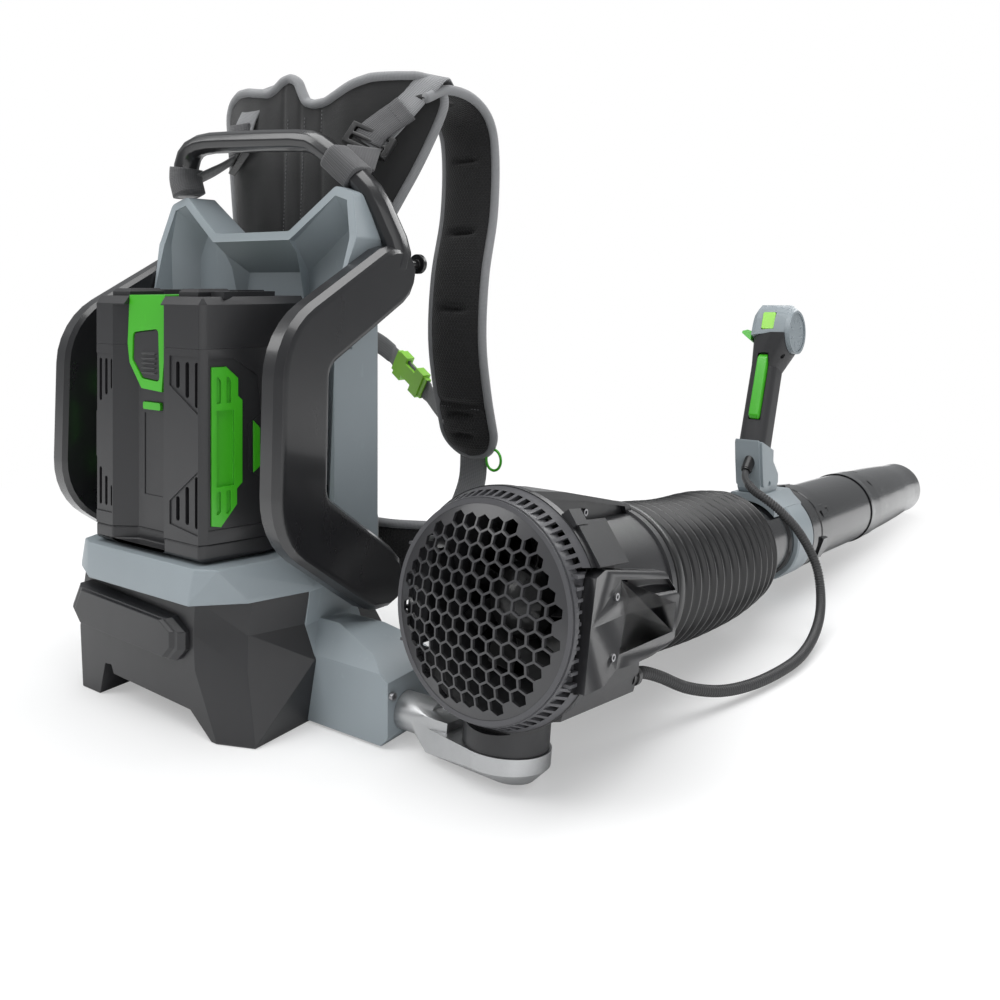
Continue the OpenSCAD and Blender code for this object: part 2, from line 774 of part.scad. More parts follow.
module fan_housing() {
    color(charcoal)
    blower_frame()
    difference() {
        union() {
            turned(housing_profile);
            translate([0, 0, socket_low]) cylinder(r = cup_r - 2, h = 40, $fn = 64);
            along_y(-26, 92)
                polygon([[-66, -30], [-66, -64], [-54, -76], [52, -78], [66, -74], [70, -58], [70, -30]]);
            along_x(-20, 22) polygon(rib_outline);
            boss();
        }
        turned(bellmouth);
        turned([[86, -60], [97, -60], [97, -28 - 0.01], [86, -28 - 0.01]]);
        for (side = [-1, 1]) box([side * 86 - 10, -30, -50], [side * 86 + 14, 28, 44]);
        along_x(17, 30) polygon([[4, 86], [60, 83], [138, 75], [142, 68], [70, 64], [12, 66]]);
        translate([0, 0, socket_low - 1]) cylinder(r = 14 + fit_gap, h = 23, $fn = 64);
        translate([63, 86, -62]) rod_y(-1, 8, 7);
    }
}

// Clamp boss on the housing's upper right shoulder.
module boss() {
    rotate([0, -38, 0]) {
        box([70, -22, -20], [98, 24, 20]);
        box([86, -26, 16], [99, -8, 30]);
    }
}

// Conical ring between the flange and the intake rim, with a window at every slot.
comb_low = -42;
ring_profile = [[rim_r + 1, -50], [95, -28], [91, -28], [rim_r - 3, -50]];
module guard_ring() {
    color(charcoal)
    blower_frame() {
        difference() {
            intersection() {
                turned(ring_profile);
                along_y(-60, -20)
                difference() {
                    circle(r = 100, $fn = 120);
                    circle(r = rim_r - 8, $fn = 120);
                    for (k = [0:ring_slots - 1]) rotate(360 * (k + 0.5) / ring_slots)
                        translate([rim_r + 1.6, -2.5]) square([4.6, 5]);
                }
            }
            for (side = [-1, 1]) box([side * 90 - 11.2, -46, -50], [side * 90 + 11.2, -20, 44]);
        }
        both_sides() {
            for (k = [0:9]) box([74, -46, comb_low + 8.8 * k], [84, -36, comb_low + 2.4 + 8.8 * k]);
            box([74, -46, comb_low], [78.5, -25, comb_low + 82]);
        }
        turned([[rim_r - 4, -52], [rim_r, -52], [rim_r, -48], [rim_r - 4, -48]]);
    }
}

// Domed honeycomb screen over the intake.
dome_r = 203;
dome_rise = 19;
web = 1.7;
screen_r = rim_r - 4;
function hexagon(r) = [for (k = [0:5]) r * [cos(60 * k + 30), sin(60 * k + 30)]];
module honeycomb() {
    difference() {
        circle(r = screen_r, $fn = 120);
        for (row = [-8:8])
            for (column = [-12:12])
                let (place = cell * [column + row / 2, row * sqrt(3) / 2])
                if (norm(place) < screen_r - cell * 0.5) translate(place) polygon(hexagon((cell - web) / sqrt(3)));
    }
}
module intake_grille() {
    color(charcoal)
    blower_frame()
    translate([0, -50, 0])
    intersection() {
        along_y(-40, 10) honeycomb();
        translate([0, dome_r - dome_rise, 0])
        difference() {
            sphere(r = dome_r, $fn = 120);
            sphere(r = dome_r - 3, $fn = 120);
        }
    }
}

// Side cover with a stepped recess and a bare panel.
cover_outline = [
    [-28, 37], [-15, 42], [90, 31], [123, 7], [117, -28], [104, -33], [47, -38], [12, -37], [-5, -46], [-35, -48], [-32, 0]
];
module cover_body(panelled) {
    difference() {
        union() {
            along_x(84, 90) polygon(rounded(cover_outline, 1.5, 2));
            along_x(79, 84.5) polygon(cover_outline);
            intersection() {
                along_x(40, 80) polygon([[34, 24], [110, 20], [110, -26], [34, -30]]);
                turned([[duct_r + 0.2, 30], [100, 30], [100, 120], [duct_r + 0.2, 120]]);
            }
        }
        if (panelled) {
            along_x(86, 91) polygon([[11, 32], [99, 24], [114, 13], [27, 16]]);
            along_x(88.4, 91) polygon([[21, 4], [116, 2], [112, -22], [16, -26]]);
        }
        along_x(78, 86) polygon([[-24, 32], [30, 32], [30, -32], [-24, -40]]);
    }
}
module side_cover_right() {
    color(charcoal) blower_frame() cover_body(true);
}
module side_cover_left() {
    color(charcoal) blower_frame() mirror([1, 0, 0]) cover_body(false);
}

// Motor in the middle of the duct on seven stator vanes.
hub_r = 33;
shaft_r = 5;
module motor() {
    color(cast)
    blower_frame()
    difference() {
        union() {
            turned([[0, 42], [hub_r, 42], [hub_r, 100], [26, 128], [12, 144], [5, 147], [0, 147]]);
            for (k = [0:6]) rotate([0, 360 * k / 7, 0]) box([hub_r - 2, 58, -1.5], [duct_in - 0.2, 96, 1.5]);
        }
        rod_y(41, 90, shaft_r + fit_gap);
    }
}

module housing_screws() {
    color(cast)
    blower_frame() {
        for (z = [-26, 20]) translate([90, 4, z]) rotate([0, 90, 0]) cap_screw(3, 2);
        translate([17, 70, 72]) rotate([0, 90, 0]) cap_screw(3.4, 3);
        for (x = [-50, 50]) translate([x, 92, -62]) rotate([-90, 0, 0]) cap_screw(3, 3);
    }
}

gland_at = [63, 94, -62];
module cable_gland() {
    color(black)
    blower_frame()
    translate([gland_at.x, 0, gland_at.z])
    difference() {
        union() {
            rod_y(86, 92, 7);
            rod_y(92, 98, 8.5);
        }
        rod_y(97, 99, 3);
    }
}

// Fan: hub with curved blades, each a twisted plate laid out by formula.
blade_tip = duct_in - 0.8;
blade_steps = 6;
function blade_ring(j) =
    let (
        r = hub_r - 3 + (blade_tip - hub_r + 3) * j / blade_steps,
        pitch = 52 - 26 * j / blade_steps,
        half = 12,
        lean = 10 * j / blade_steps
    )
    [for (e = [[-half, 0.8], [half, 0.8], [half, -0.8], [-half, -0.8]])
        let (c = e.x * cos(pitch) - e.y * sin(pitch), a = e.x * sin(pitch) + e.y * cos(pitch))
        [r * cos(c / r * 57.3 + lean), 16 + a, r * sin(c / r * 57.3 + lean)]];
module fan() {
    color(charcoal)
    blower_frame() {
        turned([[0, -14], [14, -10], [26, -2], [hub_r - 1, 8], [hub_r - 1, 38], [shaft_r, 38], [shaft_r, 86], [0, 86]]);
        for (k = [0:fan_blades - 1])
            rotate([0, 360 * k / fan_blades, 0]) skin([for (j = [0:blade_steps]) blade_ring(j)]);
    }
}

// ---- Outlet tube ---------------------------------------------------------------------------

// Bellows: ribs shrink from the duct to the front cuff, on two axes that meet at the bend.
bellows_from = 154;
bellows_to = 438;
rib_from = 172;
rib_to = 424;
function bellows_r(y) = y < 330 ? 70.5 : 70.5 - 9.5 * pow((y - 330) / (rib_to - 330), 1.6);
rib_pitch = (rib_to - rib_from) / bellows_ribs;
function bellows_ribs_between(first, last) = [
    for (k = [first:last])
        let (y = rib_from + rib_pitch * k, r = bellows_r(y))
        each [[r, y + 1], [r, y + rib_pitch - 7], [r + 3.4, y + rib_pitch - 5], [r + 3.4, y + rib_pitch - 2.6], [r, y + rib_pitch - 0.6]]
];
rear_ribs = round((bend_y - rib_from) / rib_pitch) - 1;
module bellows() {
    color(black) {
        blower_frame()
        turned(concat(
            [[duct_r - 3 + clear, bellows_from], [duct_r + 3.5, bellows_from], [duct_r + 3.5, 168]],
            bellows_ribs_between(0, rear_ribs - 1),
            [[70.5, bend_y - 3], [68, bend_y - 3], [68, 176], [duct_r - 3 + clear, 170]]
        ));
        blower_frame() bend_rib();
        tube_frame()
        turned(concat(
            [[68, bend_y + 3], [70.5, bend_y + 3]],
            bellows_ribs_between(rear_ribs + 1, bellows_ribs - 1),
            [[60, rib_to + 1], [57, bellows_to], [tube_r, bellows_to], [tube_r, rib_to], [58, rib_to - 4], [66, 372], [68, 330]]
        ));
    }
}

// Middle rib, half turned towards the tube, that both halves run into.
module bend_rib() {
    translate([0, bend_y, 0]) rotate([tube_rise / 2, 0, tube_yaw / 2])
        turned([[67.2, -9], [71.3, -9], [71.3, -2.4], [73.9, -1.2], [73.9, 1.2], [71.3, 2.4], [71.3, 9], [67.2, 9]]);
}

module front_tube() {
    color(black)
    tube_frame()
    turned([[tube_r - 2.5, 420], [tube_r, 420], [tube_r, 511], [48.5, 512], [48.5, 519], [tube_r, 519.5], [tube_r, 640], [tube_r - 2.5, 640]]);
}

// Grey ring that clamps the handle to the tube, split under its screw ears.
module clamp_ring() {
    color(slate)
    tube_frame() {
        turned([[tube_r, 520], [53, 520], [54.5, 523], [54.5, 569], [53, 572], [tube_r, 572]]);
        difference() {
            along_y(486, 573.6)
                polygon([[-42, 30], [-42, 36], [-26, 51], [-20, 58], [20, 58], [26, 51], [36, 42], [36, 30]]);
            rod_y(480, 580, tube_r);
            rod_y(480, 520, 49);
            translate([30, 500, 30]) cylinder(r = 2.6, h = 40, $fn = 32);
        }
    }
}

module bayonet_collar() {
    color(black)
    tube_frame()
    difference() {
        union() {
            turned([[49.5, 574], [53.5, 574], [53.5, 590], [52, 592], [52, 606], [53, 607], [53, 640], [49.5, 640]]);
            for (a = [20, 140, 260]) rotate([0, a, 0]) box([50, 600, -14], [55.5, 616, 14]);
        }
        for (a = [-35, 85, 205]) rotate([0, a, 0]) {
            box([51, 612, -4], [56, 641, 4]);
            box([51, 612, -22], [56, 620, 4]);
        }
    }
}

module outer_tube() {
    color(black)
    tube_frame() {
        difference() {
            turned([[tube_r, 574], [49.5, 574], [49.5, 818], [47.2, 818], [47.2, 641], [tube_r, 640]]);
            for (a = [60, 240]) rotate([0, a, 0]) box([48.7, 796, -9], [50, 804, 9]);
        }
        for (a = [-30, 150]) rotate([0, a, 0]) translate([49, 0, 0]) translate([0, 648, 0]) rotate([0, 90, 0]) cylinder(r = 4, h = 3, $fn = 32);
    }
}

nozzle_profile = [
    [47.2, 800], [47.2, 819], [51, 819], [51, 828], [50.2, 832], [50, 866], [49, 868], [48.4, 896], [48, 900],
    [46.5, 960], [44.3, 1020], [42.7, 1050], [mouth_r + 2.6, 1084], [mouth_r + 2.6, 1113], [mouth_r + 1.6, 1117],
    [mouth_r, 1117], [mouth_r, 1084], [40, 1050], [43.8, 960], [45, 900], [45, 800]
];
module nozzle() {
    color(black)
    tube_frame()
    difference() {
        turned(nozzle_profile);
        for (a = [-50, 130]) rotate([0, a, 0]) {
            box([49.2, 836, -3], [52, 862, 3]);
            box([49.2, 856, -16], [52, 862, 3]);
        }
        for (a = [-90, 90]) rotate([0, a, 0]) box([48, 880, -8], [52, 886, 8]);
    }
}

// ---- Handle --------------------------------------------------------------------------------

knuckle_outline = [[492, 64], [496, 58], [541, 58], [546, 64], [546, 80], [529, 98], [530, 126], [484, 126], [488, 96]];
module knuckle() {
    color(slate)
    difference() {
        tube_frame() {
            along_x(-15, 15) polygon(rounded(knuckle_outline, 3));
            along_x(-18, 18) polygon(rounded([[495, 66], [541, 66], [541, 79], [525, 96], [526, 124], [489, 124], [491, 96]], 4));
        }
        grip_frame() box([-40, -40, grip_foot], [40, 40, 60]);
        tube_frame() {
            for (x = [-19, 15]) translate([x, 514, 69]) rod_x(0, 4, 3.4);
            for (x = [-30, 15.2]) box([x, 486, 60], [x + 14.8, 505, 62.5]);
            grommet_seat() translate([0, 0, -9]) cylinder(r = 7, h = 26, $fn = 32);
        }
    }
}

grip_foot = 3;
seam = 144;          // height of the seam between the dark grip and the grey head
drum_at = [-6, 154]; // middle of the round end on the head, as (Y, Z)
drum_x = 36;
trigger_pin_r = 2;
module grip_section(z0, z1, x0, x1, y0, y1) {
    along_z(z0, z1) polygon(rounded([[x0, y0], [x1, y0], [x1, y1], [x0, y1]], (x1 - x0) * 0.375, 6));
}
module drum(x0, x1, r) {
    translate([0, drum_at.x, drum_at.y]) rotate([0, 90, 0]) translate([0, 0, x0]) cylinder(r = r, h = x1 - x0, $fn = 48);
}
module grip() {
    color(charcoal)
    grip_frame()
    difference() {
        union() {
            grip_section(grip_foot, 104, -17, 17, -20, 20);
            hull() {
                grip_section(104, 105, -17, 17, -20, 20);
                grip_section(seam - 1, seam, -20, 28, -24, 25);
                drum(14, 29.6, 29.5);
            }
        }
        box([-5.6, -26, 31], [9.6, -9, 119]);
        box([-6.5, -1, 56], [6.5, 30, 111]);
        box([-40, -60, seam], [60, 50, seam + 60]);
        translate([16, -14, 118]) rod_x(0, 20, 3);
    }
    color(cast) grip_frame() translate([0, 13, 100]) rod_x(-8, 8, trigger_pin_r - fit_gap);
}

head_outline = [[-24, 130], [-24, 166], [-21, 180], [-13, 189], [9, 189], [20, 180], [26, 164], [26, 130]];
module head() {
    color(slate)
    grip_frame()
    difference() {
        union() {
            intersection() {
                hull() {
                    along_x(-14, 27) polygon(head_outline);
                    along_x(-20, 20) translate([0, 130]) scale(0.84) translate([0, -130]) polygon(head_outline);
                    drum(drum_x - 1, drum_x, 28);
                }
                box([-40, -60, seam + 0.2], [60, 50, 200]);
            }
            drum(29.8, drum_x, 28);
        }
        drum(32, 50, 24.8);
        box([-5, -40, 150], [13, -12, 174]);
        translate([0, lever_at.x, lever_at.y]) rod_x(-30, -9, 4 + fit_gap);
    }
}
module end_cap() {
    color(slate)
    grip_frame() {
        drum(32.2, 34.6, 24.6);
        for (k = [0:7]) translate([0, drum_at.x, drum_at.y]) rotate([45 * k, 0, 0]) box([34, 13, -1], [35.4, 19, 1]);
    }
}

// Lock-off bar on the palm side, hinged at its upper end.
module palm_bar() {
    color(green)
    grip_frame() {
        hull() {
            box([-4.6, -24.5, 36], [8.6, -16, 112]);
            box([-3.6, -21, 32], [7.6, -16, 118]);
        }
    }
}
module trigger() {
    color(green)
    grip_frame()
    difference() {
        along_x(-5.6, 5.6) polygon([[8, 104], [26, 106], [30, 96], [31, 80], [35, 66], [28, 64], [22, 74], [8, 78]]);
        translate([0, 13, 100]) rod_x(-7, 7, trigger_pin_r);
    }
}
module boost_button() {
    color(lime)
    grip_frame()
    along_y(-27.5, -16) polygon(rounded([[-4.6, 150.4], [12.6, 150.4], [12.6, 173.6], [-4.6, 173.6]], 2.5));
}
lever_at = [-9, 150];
module cruise_lever() {
    color(green)
    grip_frame() {
        along_y(-16, -2) polygon([[-21.5, 139], [-23, 139], [-35, 148], [-35, 151], [-28, 153], [-21.5, 151]]);
        translate([0, lever_at.x, lever_at.y]) rod_x(-22, -10, 4);
    }
}

// ---- Conduit -------------------------------------------------------------------------------

// Rubber sleeve in the knuckle that the cable enters on a slant.
module grommet_seat() {
    translate([2, 484, 92]) rotate([-45, 0, 0]) children();
}
module grommet() {
    color(black)
    tube_frame()
    grommet_seat() {
        translate([0, 0, -6]) cylinder(r = 6.9, h = 20, $fn = 32);
        translate([0, 0, -8]) cylinder(r = 6.2, h = 3, $fn = 32);
    }
}

// Route from the gland to the grommet, in the pack's own frame.
conduit_route = [
    [396, 36, 62], [398, 50, 60], [404, 72, 50], [416, 108, 30], [432, 150, 16], [447, 196, 10], [459, 245, 9],
    [465, 290, 10], [464, 340, 14], [459, 385, 24], [452, 414, 42], [445, 424, 66], [436, 420, 90],
    [424, 410, 114], [408, 400, 134], [393, 396, 146], [378, 400, 153], [366, 411, 159], [359, 421, 164], [357, 429, 168.6]
];
conduit_r = 5.5;
cable_r = 4.3;
rib_step = 6;      // pitch of the conduit's ribs
plain_from = 566;  // length along the route where the bare cable leaves the ribbed conduit

// Length along path p up to every point.
function lengths(p, i = 0, sum = 0) =
    i == len(p) ? [] :
    let (now = i == 0 ? 0 : sum + norm(p[i] - p[i - 1])) concat([now], lengths(p, i + 1, now));

// Point at length s along path p.
function along(p, l, s, i = 1) =
    i == len(p) - 1 || l[i] >= s ? p[i - 1] + (p[i] - p[i - 1]) * (s - l[i - 1]) / (l[i] - l[i - 1]) : along(p, l, s, i + 1);

module conduit() {
    fine = curve(conduit_route, 6);
    run = lengths(fine);
    total = run[len(run) - 1];
    ribs = floor((plain_from - 12) / rib_step);
    // Stations of [length, radius]: two rings a rib, then a plain cable.
    stations = concat(
        [[0, cable_r], [10, cable_r]],
        [for (k = [0:ribs - 1]) each [[11 + k * rib_step, conduit_r - 0.9], [14 + k * rib_step, conduit_r]]],
        [[plain_from + 3, cable_r]],
        [for (k = [1:7]) [plain_from + 3 + (total - plain_from - 3) * k / 7, cable_r]]
    );
    path = [for (m = stations) along(fine, run, m[0])];
    t = tangents(path);
    n = normals(t, 0, [0, 0, 1]);
    color(black)
    skin([
        for (i = [0:len(path) - 1])
            let (side = cross(t[i], n[i]))
            [for (k = [0:7]) path[i] + stations[i][1] * (n[i] * cos(45 * k) + side * sin(45 * k))]
    ]);
}

base_housing();
badge_plate();
shelf();
back_shell();
battery_rails();
terminal_block();
controller();
bearing_block();
carry_handle();
side_loop_right();
side_loop_left();
accessory_stud();
pack_screws();
back_pad();
lumbar_pad();
yoke();
shoulder_pad_right();
shoulder_pad_left();
lifter_right();
lifter_left();
slide_buckles();
lower_strap_right();
lower_strap_left();
sternum_strap();
sternum_buckle();
waist_belt();
battery_case();
battery_top();
battery_bottom();
latch_strip();
vent_panels();
side_inserts();
latch_button();
gauge_button();
pivot_arm();
fan_housing();
guard_ring();
intake_grille();
side_cover_right();
side_cover_left();
motor();
housing_screws();
cable_gland();
fan();
bellows();
front_tube();
clamp_ring();
bayonet_collar();
outer_tube();
nozzle();
knuckle();
grip();
head();
end_cap();
palm_bar();
trigger();
boost_button();
cruise_lever();
grommet();
conduit();
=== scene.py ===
import json
import math

import bpy
import numpy as np
from mathutils import Matrix, Vector


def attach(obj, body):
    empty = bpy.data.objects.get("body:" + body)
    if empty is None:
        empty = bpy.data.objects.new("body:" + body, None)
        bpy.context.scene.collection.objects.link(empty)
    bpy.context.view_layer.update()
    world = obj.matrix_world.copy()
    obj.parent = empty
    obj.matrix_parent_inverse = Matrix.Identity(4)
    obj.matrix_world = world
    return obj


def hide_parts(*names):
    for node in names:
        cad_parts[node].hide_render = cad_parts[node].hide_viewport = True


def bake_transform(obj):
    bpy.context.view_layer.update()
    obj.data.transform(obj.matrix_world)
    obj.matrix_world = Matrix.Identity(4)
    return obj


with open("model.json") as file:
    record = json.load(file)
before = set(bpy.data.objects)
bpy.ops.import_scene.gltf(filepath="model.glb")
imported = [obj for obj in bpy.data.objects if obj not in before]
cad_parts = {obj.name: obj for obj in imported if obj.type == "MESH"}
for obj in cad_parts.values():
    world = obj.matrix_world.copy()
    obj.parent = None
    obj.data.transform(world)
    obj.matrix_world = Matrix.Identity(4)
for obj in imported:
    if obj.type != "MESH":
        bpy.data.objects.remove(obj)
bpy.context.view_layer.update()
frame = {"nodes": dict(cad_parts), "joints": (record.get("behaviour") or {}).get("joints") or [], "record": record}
NODES = frame["nodes"]
JOINTS = {joint["name"]: joint for joint in frame["joints"]}
MOUNTS = {mount["name"]: mount for mount in frame["record"]["mounts"]}
MM = 0.001


# ---- Frames of the turned parts ---------------------------------------------------------------

def axes_frame(origin, along_x, along_y):
    """Matrix whose columns are the given X and Y directions, their cross product and the origin."""
    x = Vector(along_x).normalized()
    y = Vector(along_y).normalized()
    z = x.cross(y)
    turn = Matrix((x, y, z)).transposed().to_4x4()
    return Matrix.Translation(Vector(origin)) @ turn


BEND_AT = 0.280      # station of the bellows' bend along the fan axis
fan_axis = Vector(JOINTS["fan_spin"]["axis"])
swivel_axis = Vector(JOINTS["blower_swivel"]["axis"])
blower = axes_frame(JOINTS["fan_spin"]["pos_m"], fan_axis.cross(swivel_axis), fan_axis)
bend_point = Vector(JOINTS["tube_swing"]["pos_m"])
tube_axis = Vector(MOUNTS["outlet"]["axis"])
tube = axes_frame(bend_point - BEND_AT * tube_axis, JOINTS["palm_press"]["axis"], tube_axis)


# ---- Camera, floor and light --------------------------------------------------------------------

CAMERA_AT = Vector((0.762, -0.715, 0.406))
CAMERA_AZIMUTH = math.radians(34)


def set_camera():
    data = bpy.data.cameras.new("camera")
    camera = bpy.data.objects.new("camera", data)
    bpy.context.scene.collection.objects.link(camera)
    data.sensor_width = 36
    data.lens = 34.2
    data.shift_y = -0.22
    data.clip_start = 0.01
    camera.location = CAMERA_AT
    camera.rotation_euler = (math.radians(90), 0, CAMERA_AZIMUTH)
    bpy.context.scene.camera = camera


set_camera()


# ---- Shader building blocks ---------------------------------------------------------------------

class Wire:
    """One output socket of a finish. Arithmetic with it on the left adds Math nodes."""

    def __init__(self, finish, socket):
        self.finish = finish
        self.socket = socket

    def _math(self, operation, first, second):
        return self.finish.node("ShaderNodeMath", {"operation": operation}, {0: first, 1: second})

    def __add__(self, other):
        return self._math("ADD", self, other)

    def __sub__(self, other):
        return self._math("SUBTRACT", self, other)

    def __mul__(self, other):
        return self._math("MULTIPLY", self, other)

    def limited(self, lowest, highest):
        return self._math("MAXIMUM", self._math("MINIMUM", self, highest), lowest)

    def wave(self):
        """Sine of this number, from -1 to 1."""
        return self._math("SINE", self, 0)


class Finish:
    """A procedural material, built node by node."""

    def __init__(self, name, roughness=0.5):
        self.material = bpy.data.materials.new(name)
        self.material.use_nodes = True
        self.tree = self.material.node_tree
        self.shader = self.tree.nodes["Principled BSDF"]
        self.shader.inputs["Roughness"].default_value = roughness

    def node(self, kind, settings=None, sockets=None, output=0):
        made = self.tree.nodes.new(kind)
        for name, value in (settings or {}).items():
            setattr(made, name, value)
        for name, value in (sockets or {}).items():
            self.feed(made.inputs[name], value)
        return Wire(self, made.outputs[output])

    def feed(self, socket, value):
        if isinstance(value, Wire):
            self.tree.links.new(value.socket, socket)
        elif value is not None:
            socket.default_value = value

    def place(self):
        return self.node("ShaderNodeTexCoord", output="Object")

    def surface(self):
        return self.node("ShaderNodeTexCoord", output="UV")

    def parts(self, vector):
        """The X, Y and Z of a vector, as three wires."""
        split = self.tree.nodes.new("ShaderNodeSeparateXYZ")
        self.feed(split.inputs[0], vector)
        return [Wire(self, split.outputs[i]) for i in range(3)]

    def noise(self, vector, scale, detail=3.0, roughness=0.55):
        sockets = {"Vector": vector, "Scale": scale, "Detail": detail, "Roughness": roughness}
        return self.node("ShaderNodeTexNoise", {}, sockets)

    def stretched(self, vector, scale):
        return self.node("ShaderNodeMapping", {}, {"Vector": vector, "Scale": scale})

    def blend(self, factor, first, second):
        """Colour between first and second."""
        mix = self.tree.nodes.new("ShaderNodeMix")
        mix.data_type = "RGBA"
        self.feed(mix.inputs[0], factor)
        self.feed(mix.inputs[6], first)
        self.feed(mix.inputs[7], second)
        return Wire(self, mix.outputs[2])

    def paint(self, **sockets):
        for name, value in sockets.items():
            self.feed(self.shader.inputs[name.replace("_", " ")], value)

    def bump(self, height, distance, strength=1.0):
        made = self.node("ShaderNodeBump", {}, {"Height": height, "Distance": distance, "Strength": strength})
        self.feed(self.shader.inputs["Normal"], made)


def rgb(code):
    """Linear colour of an sRGB hex code, as RGBA."""
    values = [int(code[i:i + 2], 16) / 255 for i in (0, 2, 4)]
    return [v / 12.92 if v <= 0.04045 else ((v + 0.055) / 1.055) ** 2.4 for v in values] + [1.0]


def shade(colour, factor):
    return [min(1.0, c * factor) for c in colour[:3]] + [1.0]


# ---- Finishes -------------------------------------------------------------------------------------

def moulded_plastic(name, colour, roughness, grain=0.00012, pitch=1300, coat=0.0):
    """Injection-moulded plastic: fine spark grain, slight mottling, a few rubbed and dusty places."""
    finish = Finish(name, roughness)
    place = finish.place()
    cloud = finish.noise(place, 7, 4)
    rubbed = finish.noise(finish.stretched(place, (1, 1, 0.35)), 60, 5, 0.7)
    speck = finish.noise(place, pitch, 1)
    tone = finish.blend(cloud, shade(colour, 0.86), shade(colour, 1.16))
    scuffs = ((rubbed - 0.62) * 6).limited(0, 1)
    finish.paint(Base_Color=finish.blend(scuffs * 0.16, tone, shade(colour, 1.9)))
    finish.paint(Roughness=(cloud - 0.5) * 0.14 + (rubbed - 0.5) * 0.12 + roughness)
    finish.shader.inputs["Coat Weight"].default_value = coat
    finish.shader.inputs["Coat Roughness"].default_value = 0.12
    finish.bump(speck, grain, 0.5)
    return finish.material


def cast_aluminium(name, colour, roughness):
    finish = Finish(name, roughness)
    place = finish.place()
    cloud = finish.noise(place, 22, 5, 0.65)
    pits = finish.noise(place, 800, 2, 0.6)
    finish.paint(Base_Color=finish.blend(cloud, shade(colour, 0.78), shade(colour, 1.2)), Metallic=0.9)
    finish.paint(Roughness=(cloud - 0.5) * 0.25 + (pits - 0.5) * 0.15 + roughness)
    finish.bump(pits * 0.6 + cloud * 0.4, 0.00025, 0.7)
    return finish.material


def machined_steel(name, colour, roughness):
    finish = Finish(name, roughness)
    brushed = finish.noise(finish.stretched(finish.place(), (120, 120, 3000)), 1, 3)
    finish.paint(Base_Color=finish.blend(brushed, shade(colour, 0.8), shade(colour, 1.15)), Metallic=1.0)
    finish.paint(Roughness=brushed * 0.2 + roughness)
    return finish.material


def ribbed_webbing(name, colour, rib=0.0016, across=0.0028):
    """Woven nylon tape, read along the strap: V is its length and U its width, in metres."""
    finish = Finish(name, 0.75)
    u, v, _ = finish.parts(finish.surface())
    ribs = (v * (2 * math.pi / rib)).wave()
    threads = (u * (2 * math.pi / across) + ribs * 0.7).wave()
    weave = ribs * 0.35 + threads * 0.2 + 0.5
    cloud = finish.noise(finish.place(), 30, 3)
    tone = finish.blend(weave, shade(colour, 0.62), shade(colour, 1.18))
    finish.paint(Base_Color=finish.blend(cloud * 0.3, tone, shade(colour, 0.8)))
    finish.shader.inputs["Sheen Weight"].default_value = 0.25
    finish.bump(weave, 0.0004, 0.9)
    return finish.material


def air_mesh(name, colour, pitch=0.0034):
    """Spacer mesh over foam: offset rows of small round holes, read from the piece's own UV in metres."""
    finish = Finish(name, 0.85)
    u, v, _ = finish.parts(finish.surface())
    turn = 2 * math.pi / pitch
    one = ((u * 0.866 + v * 0.5) * turn).wave()
    two = ((u * 0.866 - v * 0.5) * turn).wave()
    three = (v * turn).wave()
    holes = ((one * two + two * three + three * one) * 0.4 + 0.5).limited(0, 1)
    cloud = finish.noise(finish.place(), 24, 4)
    tone = finish.blend(holes, shade(colour, 0.35), shade(colour, 1.5))
    finish.paint(Base_Color=finish.blend(cloud * 0.35, tone, shade(colour, 1.3)))
    finish.shader.inputs["Sheen Weight"].default_value = 0.15
    finish.bump(holes, 0.0006, 0.9)
    return finish.material


def smooth_cloth(name, colour, thread=0.0009, sheen=0.3):
    """Dense knitted lining, read from Object coordinates."""
    finish = Finish(name, 0.8)
    place = finish.place()
    x, y, z = finish.parts(place)
    turn = 2 * math.pi / thread
    knit = ((x * turn).wave() * ((z + y) * turn).wave()) * 0.5 + 0.5
    cloud = finish.noise(place, 14, 4)
    creases = finish.noise(finish.stretched(place, (1, 1, 2.2)), 34, 2)
    tone = finish.blend(knit, shade(colour, 0.75), shade(colour, 1.25))
    finish.paint(Base_Color=finish.blend(cloud * 0.5, tone, shade(colour, 1.5)))
    finish.shader.inputs["Sheen Weight"].default_value = sheen
    finish.bump(knit * 0.15 + creases * 0.85, 0.0012, 0.5)
    return finish.material


def binding_tape(name, colour):
    """Grosgrain edge binding with fine cross ribs, read along its length."""
    finish = Finish(name, 0.8)
    u, v, _ = finish.parts(finish.surface())
    ribs = (v * (2 * math.pi / 0.0014)).wave() * 0.5 + 0.5
    pull = finish.noise(finish.stretched(finish.surface(), (60, 60, 1)), 1, 3)
    tone = finish.blend(ribs, shade(colour, 0.8), shade(colour, 1.12))
    finish.paint(Base_Color=finish.blend(pull * 0.35, tone, shade(colour, 0.72)))
    finish.shader.inputs["Sheen Weight"].default_value = 0.2
    finish.bump(ribs * 0.4 + pull * 0.6, 0.0005, 0.7)
    return finish.material


def satin_rubber(name, colour, roughness):
    finish = Finish(name, roughness)
    place = finish.place()
    cloud = finish.noise(place, 16, 4)
    bloom = finish.noise(finish.stretched(place, (1, 0.4, 1)), 90, 4, 0.7)
    dusty = ((bloom - 0.6) * 4).limited(0, 1) * 0.3
    finish.paint(Base_Color=finish.blend(dusty, shade(colour, 0.95), shade(colour, 2.2)))
    finish.paint(Roughness=(cloud - 0.5) * 0.2 + roughness)
    finish.bump(finish.noise(place, 900, 1), 0.0001, 0.4)
    return finish.material


CHARCOAL = rgb("252527")
BLACK = rgb("131314")
SLATE = rgb("8b9499")
GREEN = rgb("3fae1c")
LIME = rgb("8fd63c")
GREY_TAPE = rgb("8a8b8d")

